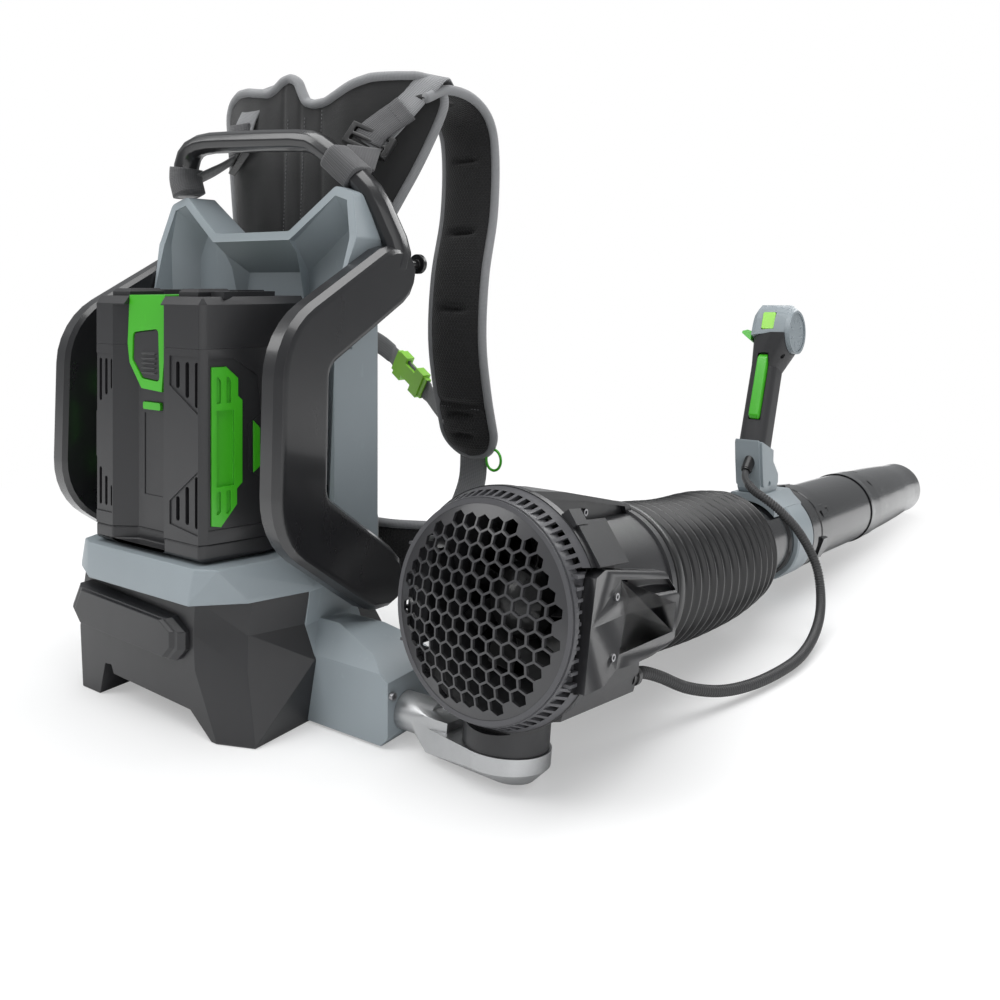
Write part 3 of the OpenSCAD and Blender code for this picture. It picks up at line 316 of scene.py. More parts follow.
finishes = {
    "charcoal": moulded_plastic("charcoal moulding", CHARCOAL, 0.4, coat=0.12),
    "frame": moulded_plastic("satin frame moulding", rgb("1d1d1f"), 0.3, 0.00007, 1500, 0.5),
    "guard": moulded_plastic("grey guard moulding", rgb("4b4b4e"), 0.42),
    "grille": moulded_plastic("grille moulding", rgb("3a3a3c"), 0.38, 0.00006, 1500, 0.2),
    "grained": moulded_plastic("grained charcoal moulding", rgb("2b2b2d"), 0.55, 0.0002, 900),
    "black": moulded_plastic("satin black moulding", BLACK, 0.3, 0.00006, 1600, 0.25),
    "gloss": moulded_plastic("gloss black tube", rgb("161618"), 0.2, 0.00004, 1500, 0.5),
    "slate": moulded_plastic("slate grey moulding", SLATE, 0.42, 0.0001, 1200),
    "green": moulded_plastic("green moulding", GREEN, 0.35, 0.00006, 1500, 0.2),
    "lime": moulded_plastic("lime moulding", LIME, 0.35, 0.00006, 1500, 0.2),
    "cast": cast_aluminium("cast aluminium", rgb("b9babb"), 0.38),
    "steel": machined_steel("machined steel", rgb("a0a0a2"), 0.28),
    "webbing": ribbed_webbing("grey webbing", rgb("8a8b8d")),
    "strap": ribbed_webbing("dark webbing", rgb("4c4c4e")),
    "mesh": air_mesh("black air mesh", rgb("151516")),
    "lining": smooth_cloth("black lining", rgb("131314")),
    "binding": binding_tape("grey binding", GREY_TAPE),
    "rubber": satin_rubber("black bellows rubber", rgb("1b1b1c"), 0.33),
    "cable": satin_rubber("cable jacket", rgb("3a3a3b"), 0.5),
    "thread": satin_rubber("sewing thread", rgb("6c6d6f"), 0.7),
}


def finish_of(obj, finish):
    obj.data.materials.clear()
    obj.data.materials.append(finishes[finish])


# ---- Stage ----------------------------------------------------------------------------------------

WHITE = (1, 1, 1, 1)
FLOOR_MIDDLE = (0.14, 0.12, 0)     # the fade starts round this point
FADE_FROM, FADE_TO = 0.45, 1.25    # metres from it
FLOOR_DROP = 0.0005                # keeps the floor clear of the feet


def area_light(name, at, aim, size, power):
    data = bpy.data.lights.new(name, "AREA")
    data.shape = "RECTANGLE"
    data.size = size[0]
    data.size_y = size[1]
    data.energy = power
    lamp = bpy.data.objects.new(name, data)
    bpy.context.scene.collection.objects.link(lamp)
    lamp.location = at
    lamp.rotation_euler = (Vector(aim) - Vector(at)).to_track_quat("-Z", "Y").to_euler()


def white_for_the_eye(tree, shader):
    """Mixes a plain white into a shader for camera and mirror rays only."""
    path = tree.nodes.new("ShaderNodeLightPath")
    seen = tree.nodes.new("ShaderNodeMath")
    seen.operation = "MAXIMUM"
    tree.links.new(path.outputs["Is Camera Ray"], seen.inputs[0])
    tree.links.new(path.outputs["Is Transmission Ray"], seen.inputs[1])
    white = tree.nodes.new("ShaderNodeBackground")
    white.inputs["Strength"].default_value = 1.0
    white.inputs["Color"].default_value = WHITE
    mix = tree.nodes.new("ShaderNodeMixShader")
    tree.links.new(seen.outputs[0], mix.inputs[0])
    tree.links.new(shader, mix.inputs[1])
    tree.links.new(white.outputs[0], mix.inputs[2])
    return mix.outputs[0]


def fade_to_white(tree):
    """Turns the floor plain white for the eye, from a little way round the object outwards."""
    place = tree.nodes.new("ShaderNodeTexCoord")
    off = tree.nodes.new("ShaderNodeVectorMath")
    off.operation = "SUBTRACT"
    off.inputs[1].default_value = FLOOR_MIDDLE
    tree.links.new(place.outputs["Object"], off.inputs[0])
    far = tree.nodes.new("ShaderNodeVectorMath")
    far.operation = "LENGTH"
    tree.links.new(off.outputs[0], far.inputs[0])
    ramp = tree.nodes.new("ShaderNodeMapRange")
    ramp.interpolation_type = "SMOOTHSTEP"
    ramp.inputs["From Min"].default_value = FADE_FROM
    ramp.inputs["From Max"].default_value = FADE_TO
    ramp.inputs["To Min"].default_value = 0.35
    tree.links.new(far.outputs["Value"], ramp.inputs["Value"])
    seen = tree.nodes.new("ShaderNodeLightPath")
    share = tree.nodes.new("ShaderNodeMath")
    share.operation = "MULTIPLY"
    tree.links.new(ramp.outputs[0], share.inputs[0])
    tree.links.new(seen.outputs["Is Camera Ray"], share.inputs[1])
    white = tree.nodes.new("ShaderNodeEmission")
    white.inputs["Color"].default_value = WHITE
    mix = tree.nodes.new("ShaderNodeMixShader")
    tree.links.new(share.outputs[0], mix.inputs[0])
    tree.links.new(tree.nodes["Principled BSDF"].outputs[0], mix.inputs[1])
    tree.links.new(white.outputs[0], mix.inputs[2])
    tree.links.new(mix.outputs[0], tree.nodes["Material Output"].inputs[0])


def set_stage():
    world = bpy.data.worlds.new("studio")
    bpy.context.scene.world = world
    world.use_nodes = True
    tree = world.node_tree
    back = tree.nodes["Background"]
    back.inputs["Color"].default_value = (0.96, 0.98, 1, 1)
    back.inputs["Strength"].default_value = 0.36
    tree.links.new(white_for_the_eye(tree, back.outputs[0]), tree.nodes["World Output"].inputs[0])

    bpy.ops.mesh.primitive_plane_add(size=40, location=(0, 0, -FLOOR_DROP))
    floor = bpy.context.object
    floor.name = "floor"
    paper = bpy.data.materials.new("pale floor")
    paper.use_nodes = True
    paper.node_tree.nodes["Principled BSDF"].inputs["Base Color"].default_value = (0.93, 0.93, 0.93, 1)
    paper.node_tree.nodes["Principled BSDF"].inputs["Roughness"].default_value = 0.9
    fade_to_white(paper.node_tree)
    floor.data.materials.append(paper)
    middle = (0.15, 0.15, 0.25)
    area_light("window", (-1.3, -1.6, 2.1), middle, (1.6, 1.6), 30)
    area_light("ceiling", (0.25, -0.1, 2.5), middle, (2.2, 2.2), 52)
    area_light("fill", (2.3, -1.0, 0.9), middle, (1.4, 1.8), 10)
    area_light("rim", (0.6, 2.4, 1.7), middle, (2.4, 0.8), 30)


set_stage()
bpy.context.scene.view_settings.view_transform = "Standard"


# ---- Carried-over parts: rounded edges and finish ------------------------------------------------

WELDED = 0.00001               # metres between vertices that are one
FLAT = math.radians(0.6)       # faces turned less than this are one face
SHARP = math.radians(25)       # edges that turn more than this are rounded


def round_edges(node, finish, width):
    """Welds a node's loose triangles, rounds its sharp edges by width millimetres and gives it a finish."""
    part = NODES[node]
    finish_of(part, finish)
    part.data.shade_smooth()
    weld = part.modifiers.new("weld", "WELD")
    weld.merge_threshold = WELDED
    plain = part.modifiers.new("plain", "DECIMATE")
    plain.decimate_type = "DISSOLVE"
    plain.angle_limit = FLAT
    if width:
        bevel = part.modifiers.new("rounding", "BEVEL")
        bevel.width = width * MM
        bevel.segments = 2
        bevel.limit_method = "ANGLE"
        bevel.angle_limit = SHARP
        bevel.use_clamp_overlap = True
        bevel.miter_outer = "MITER_ARC"
    normals = part.modifiers.new("normals", "WEIGHTED_NORMAL")
    normals.keep_sharp = True
    normals.weight = 80


ROUNDED = {
    "charcoal": {
        "base_housing": 2.5, "badge_plate": 1.5, "fan_housing": 0.9,
        "side_cover_right": 0.9, "side_cover_left": 0.9, "battery_top": 1.8, "battery_bottom": 1.8,
        "battery_case": 1.0, "latch_button": 0.8,
    },
    "frame": {"carry_handle": 1.6, "side_loop_right": 3.0, "side_loop_left": 3.0},
    "guard": {"guard_ring": 0.35},
    "grille": {"intake_grille": 0.3},
    "grained": {"grip": 0.8},
    "black": {
        "battery_rails": 1.0, "terminal_block": 0.8,
        "accessory_stud": 0.6, "slide_buckles": 0.8, "cable_gland": 0.4, "fan": 0.3,
    },
    "gloss": {"front_tube": 0.3, "bayonet_collar": 0.5, "outer_tube": 0.3, "nozzle": 0.4},
    "slate": {"shelf": 2.5, "back_shell": 3.0, "bearing_block": 3.0, "clamp_ring": 0.8, "knuckle": 0.8, "head": 1.5,
              "end_cap": 0.4},
    "green": {"latch_strip": 0.7, "vent_panels": 0.5, "side_inserts": 0.4, "gauge_button": 0.4, "palm_bar": 1.2,
              "trigger": 0.8, "cruise_lever": 0.5},
    "lime": {"boost_button": 0.8, "sternum_buckle": 0.8},
    "cast": {"pivot_arm": 1.5, "controller": 0.6, "motor": 0.6},
    "steel": {"pack_screws": 0.3, "housing_screws": 0.3},
    "webbing": {"lifter_right": 0.4, "lifter_left": 0.4, "lower_strap_right": 0.4, "lower_strap_left": 0.4,
                "sternum_strap": 0.3},
    "lining": {"back_pad": 0, "lumbar_pad": 0, "yoke": 2, "shoulder_pad_right": 0, "shoulder_pad_left": 0,
               "waist_belt": 0},
    "rubber": {"bellows": 0, "grommet": 0.3},
    "cable": {"conduit": 0},
}
for finish, parts in ROUNDED.items():
    for node, width in parts.items():
        round_edges(node, finish, width)


# ---- Smooth paths and skins ------------------------------------------------------------------------

CURVE_STEPS = 24     # steps between two of a path's given points


def running(path):
    """Length along a path at each of its points."""
    return np.concatenate([[0], np.cumsum(np.linalg.norm(np.diff(path, axis=0), axis=1))])


def at_lengths(lengths, run, rows):
    """Rows of vectors, given at run, read off at lengths."""
    return np.column_stack([np.interp(lengths, run, rows[:, k]) for k in range(3)])


def along(points, count):
    """Even stations, in metres, along a smooth curve through points given in millimetres."""
    p = np.array(points, float)
    p = np.vstack([2 * p[:1] - p[1:2], p, 2 * p[-1:] - p[-2:-1]])
    fine = []
    for a, b, c, d in zip(p[:-3], p[1:-2], p[2:-1], p[3:]):
        for t in np.arange(0, 1, 1 / CURVE_STEPS):
            squared = (2 * a - 5 * b + 4 * c - d) * t ** 2
            cubed = (3 * b - a - 3 * c + d) * t ** 3
            fine.append(0.5 * (2 * b + (c - a) * t + squared + cubed))
    fine.append(p[-2])
    fine = np.array(fine)
    run = running(fine)
    return at_lengths(np.linspace(0, run[-1], count), run, fine) * MM


def unit(rows):
    return rows / np.linalg.norm(rows, axis=-1, keepdims=True)


def headings(path, closed=False):
    if closed:
        return unit(np.roll(path, -1, 0) - np.roll(path, 1, 0))
    return unit(np.gradient(path, axis=0))


def sides(path, across, closed=False):
    """At each station, the heading, the width direction nearest to across, and the direction square to both."""
    heading = headings(path, closed)
    across = np.broadcast_to(np.array(across, float), path.shape)
    side = unit(across - (across * heading).sum(1, keepdims=True) * heading)
    return heading, side, np.cross(heading, side)


def skin(name, rings, closed=False):
    """Mesh over rings of equal length, which run anticlockwise about the way they travel. UV is in metres."""
    rings = np.array(rings, float)
    count, around = rings.shape[:2]
    faces = []
    places = []
    girth = np.linalg.norm(np.roll(rings, -1, 1) - rings, axis=2).mean(0)
    u = np.concatenate([[0], np.cumsum(girth)])
    centres = rings.mean(1)
    steps = np.linalg.norm(np.roll(centres, -1, 0) - centres, axis=1)
    v = np.concatenate([[0], np.cumsum(steps)])
    for i in range(count if closed else count - 1):
        j = (i + 1) % count
        for k in range(around):
            n = (k + 1) % around
            faces.append((i * around + k, i * around + n, j * around + n, j * around + k))
            places += [(u[k], v[i]), (u[k + 1], v[i]), (u[k + 1], v[i + 1]), (u[k], v[i + 1])]
    if not closed:
        faces.append(tuple(range(around - 1, -1, -1)))
        faces.append(tuple(range((count - 1) * around, count * around)))
        places += [(u[k], 0) for k in range(around - 1, -1, -1)] + [(u[k], v[count - 1]) for k in range(around)]
    mesh = bpy.data.meshes.new(name)
    mesh.from_pydata(rings.reshape(-1, 3).tolist(), [], faces)
    mesh.uv_layers.new(name="length").data.foreach_set("uv", np.array(places, np.float32).ravel())
    mesh.shade_smooth()
    piece = bpy.data.objects.new(name, mesh)
    bpy.context.scene.collection.objects.link(piece)
    return piece


def settle(piece, finish, body, *nodes):
    """Gives a finished piece its finish and its body, and hides the nodes that it stands for."""
    finish_of(piece, finish)
    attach(piece, body)
    if nodes:
        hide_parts(*nodes)
    return piece


def strap_section(half_width, half_thick):
    w, h = half_width, half_thick
    r = h * 0.8
    return [(-w + r, -h), (-w / 3, -h), (w / 3, -h), (w - r, -h), (w, -h + r), (w, h - r), (w - r, h), (w / 3, h),
            (-w / 3, h), (-w + r, h), (-w, h - r), (-w, -h + r)]


def oval_section(half_width, half_thick, points=14):
    turns = [2 * math.pi * k / points for k in range(points)]
    return [(half_width * math.cos(q), half_thick * math.sin(q)) for q in turns]


def swept(name, path, across, section, closed=False):
    """A section, as (across, square to it) pairs in millimetres, carried along a path in metres."""
    _, side, square = sides(path, across, closed)
    rings = [[path[i] + MM * (a * side[i] + b * square[i]) for a, b in section] for i in range(len(path))]
    return skin(name, rings, closed)


def strap(name, points, across, width, thick, *nodes, finish="webbing", stations=60):
    """Flat tape on the pack through points in millimetres, as wide and thick as given there."""
    path = along(points, stations)
    settle(swept(name, path, across, strap_section(width / 2, thick / 2)), finish, "pack", *nodes)


STITCH_PITCH = 0.0042
STITCH_LENGTH = 0.0024
STITCH_SHAPE = ((0, 0.3), (0.2, 1), (0.8, 1), (1, 0.3))     # share of its length, and how thick it is there
STITCH_SECTION = ((0.45, 0), (0.3, 0.35), (-0.3, 0.35), (-0.45, 0), (-0.3, -0.35), (0.3, -0.35))


def stitches(name, path, across):
    """A row of short raised threads along a path in metres."""
    run = running(path)
    _, side, square = sides(path, across)
    verts = []
    faces = []
    for s in np.arange(STITCH_PITCH / 2, run[-1] - STITCH_LENGTH, STITCH_PITCH):
        first = len(verts)
        for share, scale in STITCH_SHAPE:
            here = [s + share * STITCH_LENGTH]
            centre, a, b = (at_lengths(here, run, rows)[0] for rows in (path, side, square))
            verts += [centre + MM * scale * (x * a + y * b) for x, y in STITCH_SECTION]
        n = len(STITCH_SECTION)
        for i in range(3):
            faces += [(first + i * n + k, first + i * n + (k + 1) % n, first + (i + 1) * n + (k + 1) % n,
                       first + (i + 1) * n + k) for k in range(n)]
        faces.append(tuple(first + k for k in range(n - 1, -1, -1)))
        faces.append(tuple(first + 3 * n + k for k in range(n)))
    mesh = bpy.data.meshes.new(name)
    mesh.from_pydata([tuple(v) for v in verts], [], faces)
    mesh.shade_smooth()
    piece = bpy.data.objects.new(name, mesh)
    bpy.context.scene.collection.objects.link(piece)
    settle(piece, "thread", "pack")


# ---- Cable conduit: from the wiring box's gland to the knuckle's grommet ---------------------------

ROUTE = [
    (396, 36, 62), (398, 50, 60), (404, 72, 50), (416, 108, 30), (432, 150, 16), (447, 196, 10), (459, 245, 9),
    (465, 290, 10), (464, 340, 14), (459, 385, 24), (452, 414, 42), (445, 424, 66), (436, 420, 90), (424, 410, 114),
    (408, 400, 134), (393, 396, 146), (378, 400, 153), (366, 411, 159), (359, 421, 164), (357, 429, 168.6),
]
RIBBED_TO = 0.566     # length of the ribbed stretch
RIB_PITCH = 0.0032
RIB = ((0, 4.55), (0.0006, 5.35), (0.0016, 5.5), (0.0022, 5.3), (0.0027, 4.55))     # stations along one rib
CONDUIT_SIDES = 16
CABLE_RADIUS = 4.3    # millimetres, of the bare cable at both ends


def make_conduit():
    """Ribbed conduit with bare cable at its ends. A station is a length in metres and a radius in millimetres."""
    fine = along(ROUTE, 1500)
    run = running(fine)
    total = float(run[-1])
    stations = [(0.0, CABLE_RADIUS), (0.009, CABLE_RADIUS), (0.0095, 5.0)]
    s = 0.010
    while s < RIBBED_TO:
        stations += [(s + step, radius) for step, radius in RIB]
        s += RIB_PITCH
    bare = s + 0.0015
    stations += [(s, 5.2), (s + 0.001, 5.2), (bare, CABLE_RADIUS)]
    stations += [(bare + (total - bare) * k / 14, CABLE_RADIUS) for k in range(1, 15)]
    at = np.array([m[0] for m in stations])
    path = at_lengths(at, run, fine)
    even = np.linspace(0, total, 260)
    coarse = at_lengths(even, run, fine)
    heads = unit(at_lengths(at, even, headings(coarse)))
    rings = []
    normal = unit(np.cross(heads[0], (0, 0, 1)))
    for i, (_, radius) in enumerate(stations):
        normal = normal - (normal @ heads[i]) * heads[i]
        normal /= np.linalg.norm(normal)
        other = np.cross(heads[i], normal)
        rings.append([path[i] + MM * radius * (math.cos(q) * normal + math.sin(q) * other)
                      for q in np.linspace(0, 2 * math.pi, CONDUIT_SIDES, endpoint=False)])
    piece = settle(skin("cable_conduit", rings), "cable", "blower", "conduit")
    piece.parent = None
    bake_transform(piece)


make_conduit()


# ---- Bellows ---------------------------------------------------------------------------------------

BELLOWS_RIBS = 13
BELLOWS_SIDES = 96
RIBS_FROM, RIBS_TO = 0.172, 0.424      # stations along the axis, in metres
RIB_FOOT, RIB_HEIGHT = 70.5, 3.6       # millimetres
TAPER_FROM, TAPER_BY = 0.33, 9.5       # the ribs' foot shrinks by so many millimetres from there on
BEND_FROM, BEND_TO = 0.20, 0.37


def make_bellows():
    """Ribbed boot that bends from the duct's axis to the tube's.

    Its profile is a station in metres and a radius in millimetres, out along the ribs and back along the bore.
    """
    profile = [(0.154, 69.4), (0.154, 75.0), (0.156, 76.2), (0.165, 76.2), (0.1675, 75.0), (0.169, 71.5)]
    pitch = (RIBS_TO - RIBS_FROM) / BELLOWS_RIBS
    for k in range(BELLOWS_RIBS):
        y = RIBS_FROM + k * pitch
        low = RIB_FOOT if y < TAPER_FROM else RIB_FOOT - TAPER_BY * ((y - TAPER_FROM) / 0.094) ** 1.6
        crest = low + RIB_HEIGHT
        end = y + pitch
        profile += [
            (y, low - 1.6), (y + 0.0016, low - 1.9), (end - 0.0098, low - 0.9), (end - 0.0078, low + 0.4),
            (end - 0.0066, crest - 0.5), (end - 0.0056, crest), (end - 0.0034, crest), (end - 0.0024, crest - 0.6),
            (end - 0.0012, low + 0.2),
        ]
    profile += [
        (0.425, 60.5), (0.429, 58.0), (0.4365, 56.6), (0.438, 55.6), (0.438, 46.2), (0.432, 46.2), (0.424, 57.0),
        (0.38, 64.0), (0.33, 67.0), (0.18, 67.0), (0.172, 69.4),
    ]
    rings = []
    for y, radius in profile:
        share = min(1.0, max(0.0, (y - BEND_FROM) / (BEND_TO - BEND_FROM)))
        share = share * share * (3 - 2 * share)
        ring = []
        for k in range(BELLOWS_SIDES):
            q = -2 * math.pi * k / BELLOWS_SIDES
            spot = Vector((radius * MM * math.cos(q), y, radius * MM * math.sin(q)))
            ring.append((blower @ spot).lerp(tube @ spot, share))
        rings.append(ring)
    piece = skin("bellows_boot", rings, closed=True)
    settle(piece, "rubber", "blower", "bellows")
    piece.parent = None
    end = tube @ Vector((0, 0.40, 0))
    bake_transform(piece)


make_bellows()


# ---- Padded pieces ---------------------------------------------------------------------------------

PRESSURE = 4.0
MOMENTS = 20     # frames that Cloth runs for


def inflate(piece, held, reach):
    """Swells a padded piece with Cloth. Its seams stay held, and no point moves farther than reach millimetres."""
    scene = bpy.context.scene
    mesh = piece.data
    rest = np.empty(len(mesh.vertices) * 3, np.float32)
    mesh.vertices.foreach_get("co", rest)
    rest = rest.reshape(-1, 3)
    group = piece.vertex_groups.new(name="seams")
    group.add([int(v) for v in held], 1.0, "REPLACE")
    cloth = piece.modifiers.new("cloth", "CLOTH")
    cloth.settings.vertex_group_mass = group.name
    cloth.settings.use_pressure = True
    cloth.settings.uniform_pressure_force = PRESSURE
    cloth.settings.effector_weights.gravity = 0
    cloth.settings.quality = 5
    cloth.settings.mass = 0.2
    for moment in range(1, MOMENTS + 1):
        scene.frame_set(moment)
    graph = bpy.context.evaluated_depsgraph_get()
    swollen = np.empty(len(mesh.vertices) * 3, np.float32)
    piece.evaluated_get(graph).data.vertices.foreach_get("co", swollen)
    move = swollen.reshape(-1, 3) - rest
    size = np.linalg.norm(move, axis=1, keepdims=True)
    move *= np.minimum(1, reach * MM / np.maximum(size, 1e-9))
    scene.frame_set(1)
    piece.modifiers.remove(cloth)
    piece.vertex_groups.remove(group)
    mesh.vertices.foreach_set("co", (rest + move).ravel())
    mesh.update()


def pad_section(points=40):
    """Crowned section with a thin seam on each side, as (across, square to it) pairs that reach 1 each way."""
    rows = []
    for k in range(points):
        c, d = math.cos(2 * math.pi * k / points), math.sin(2 * math.pi * k / points)
        rows.append((math.copysign(abs(c) ** 0.8, c), math.copysign(abs(d) ** 1.15, d)))
    return rows


def trim(name, path, across, half_wide=4.6, half_thick=5.6):
    """Grosgrain binding folded over an edge: across points out of the pad's face."""
    settle(swept(name, path, across, oval_section(half_thick, half_wide)), "binding", "pack")


PAD_STEP = 3.2           # millimetres between a pad's rings
NARROWEST = 0.06         # share of its width at the tip of a round end
END_THICK = 0.30         # share of its thickness there, which grows by 1 in END_RISE millimetres
END_RISE = 26
CHANNEL_DEEP = 0.5       # share of its thickness that a channel takes
CHANNEL_WIDE = 4.5
TUFT_WIDE = 3.4
TUFT_FADE = 2.2          # millimetres over which a tuft fades out across the pad
SEAM_FROM = 0.965        # share of its half width past which all is seam
SEWN = 3.4               # millimetres each side of a sewn line that Cloth leaves in place
BINDING_STEP = 0.0022    # metres, at least, between the binding's rings


def rounded_end(half_wide, radius, gap):
    """Share of a pad's width at gap millimetres from an end of this radius."""
    if not radius or gap >= radius:
        return 1.0
    sag = math.sqrt(max(0.0, 1 - (1 - gap / radius) ** 2))
    return 1 - radius / half_wide + radius / half_wide * sag


def bind_edge(name, path, side, square, edge):
    """Binding down one side of a pad, round its foot and up the other. edge is the half width at each station."""
    edge = np.array(edge)[:, None] * MM
    rim = np.vstack([path - side * edge, (path + side * edge)[::-1]])
    out = np.vstack([square, square[::-1]])
    keep = [0]
    for i in range(1, len(rim)):
        if np.linalg.norm(rim[i] - rim[keep[-1]]) > BINDING_STEP:
            keep.append(i)
    trim(name, rim[keep], out[keep])


def pad(name, points, across, half_wide, half_thick, nodes, foot, reach, head=0, tufts=(), channels=(),
        finish="mesh", bound=True):
    """Padded band along a path: seams on its sides, a rounded foot and head, tufts and full-width channels.

    foot and head are the radii of its round ends. A channel is a station along it, and a tuft a station, a depth
    as a share of the thickness, and a half width. All are in millimetres.
    """
    rough = along(points, 200)
    length = float(np.linalg.norm(np.diff(rough, axis=0), axis=1).sum()) * 1000
    count = int(length / PAD_STEP) + 1
    path = along(points, count)
    _, side, square = sides(path, across)
    at = np.linspace(0, length, count)
    base = pad_section()
    rings = []
    edge = []
    held = []
    for i, s in enumerate(at):
        narrow = min(rounded_end(half_wide, foot, length - s), rounded_end(half_wide, head, s))
        w = half_wide * max(narrow, NARROWEST)
        thin = min(1.0, END_THICK + min(s + 2, length - s + 2) / END_RISE)
        for c in channels:
            thin *= 1 - CHANNEL_DEEP * math.exp(-((s - c) / CHANNEL_WIDE) ** 2)
        edge.append(w)
        ring = []
        for k, (a, b) in enumerate(base):
            lift = b * half_thick * thin
            if b > 0:
                for c, deep, wide in tufts:
                    soft = 1 / (1 + math.exp((abs(a) * half_wide - wide) / TUFT_FADE))
                    lift *= 1 - deep * soft * math.exp(-((s - c) / TUFT_WIDE) ** 2)
            ring.append(path[i] + MM * (a * w * side[i] + lift * square[i]))
            seam = abs(a) > SEAM_FROM or i < 2 or i > count - 3
            sewn = any(abs(s - c) < SEWN for c in channels)
            tucked = b > 0 and any(abs(s - c) < SEWN and abs(a) * half_wide < wide for c, _, wide in tufts)
            if seam or sewn or tucked:
                held.append(i * len(base) + k)
        rings.append(ring)
    piece = skin(name, rings)
    inflate(piece, held, reach)
    settle(piece, finish, "pack", *nodes)
    if bound:
        bind_edge(name + "_binding", path, side, square, edge)
    return piece, path, side, square, at


def mirrored(points):
    return [(-x, y, z) for x, y, z in points]


PAD_LINE = [
    (106, 70, 598), (110, 100, 610), (113, 140, 607), (117, 168, 586), (118, 178, 548), (120, 172, 480),
    (122, 152, 410), (121, 148, 340), (119, 160, 280), (117, 178, 224), (115, 186, 202),
]
POCKET_AT = 436     # station of the pocket's sewn top
PAD_TUFTS = [(60, 0.75, 14), (154, 0.8, 15), (241, 0.8, 15), (327, 0.8, 15), (448, 0.75, 15), (474, 0.6, 12)]


def make_shoulder_pads():
    for name, points in (("right", PAD_LINE), ("left", mirrored(PAD_LINE))):
        _, path, side, square, at = pad(
            "shoulder_cushion_" + name, points, (1, 0, 0), 35, 11, ["shoulder_pad_" + name],
            foot=34, reach=4, tufts=PAD_TUFTS, channels=(POCKET_AT,))
        seam = np.searchsorted(at, POCKET_AT + 1)
        across = np.linspace(-29, 29, 30)[:, None] * MM * side[seam] + path[seam] + square[seam] * 0.0075
        stitches("pocket_stitches_" + name, across, tuple(square[seam]))


def make_back_pads():
    pad("back_cushion", [(0, 17, 198), (0, 18, 330), (0, 17, 456)], (1, 0, 0), 102, 12, ["back_pad"],
        foot=30, head=30, reach=4, channels=(100, 200), finish="lining", bound=False)
    pad("lumbar_cushion", [(0, 22, 94), (0, 22, 139), (0, 22, 184)], (1, 0, 0), 108, 16, ["lumbar_pad"],
        foot=26, head=26, reach=4, channels=(45,))


BELT_LINE = [(86, 53, 118), (112, 58, 118), (150, 84, 116), (172, 120, 112), (168, 172, 106), (140, 208, 102)]


def make_belt():
    for name, points in (("right", BELT_LINE), ("left", mirrored(BELT_LINE))):
        wing = pad("belt_wing_" + name, points, (0, 0, 1), 30, 7, [], foot=26, reach=3, channels=(70, 140))
    strap("belt_plate", [(-96, 47, 116), (0, 47, 116), (96, 47, 116)], (0, 0, 1), 36, 5, finish="lining", stations=12)
    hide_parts("waist_belt")


NECK_LINE = [
    (-142, 606), (-133, 618), (-118, 624), (-100, 624), (-78, 620), (-58, 617), (-46, 622), (-36, 629), (-24, 631),
    (-13, 625), (-7, 612), (-1, 602), (12, 598), (30, 599), (50, 607), (68, 616), (84, 621), (104, 623), (122, 624),
    (134, 618), (142, 606),
]
HEM_LINE = [
    (-142, 600), (-139, 568), (-133, 525), (-126, 480), (-121, 442), (92, 442), (98, 470), (118, 520), (138, 580),
    (142, 600),
]
BOW_FRONT = [(-142, 46), (-110, 37), (-70, 31), (60, 31), (90, 43), (110, 59), (126, 76), (142, 95)]
BOW_BACK = [(-142, 55), (-110, 45), (-70, 38), (58, 38), (86, 51), (103, 67), (120, 86), (142, 105)]
YOKE_ROWS = (-34, -8, 24)     # X of its sewn rows
ROW_DEEP = 0.35               # share of its thickness that a row takes
ROW_WIDE = 2.5
YOKE_AROUND = 30              # points round its section


def soften(values, width):
    core = np.ones(width) / width
    return np.convolve(np.pad(values, width // 2, mode="edge"), core, "valid")


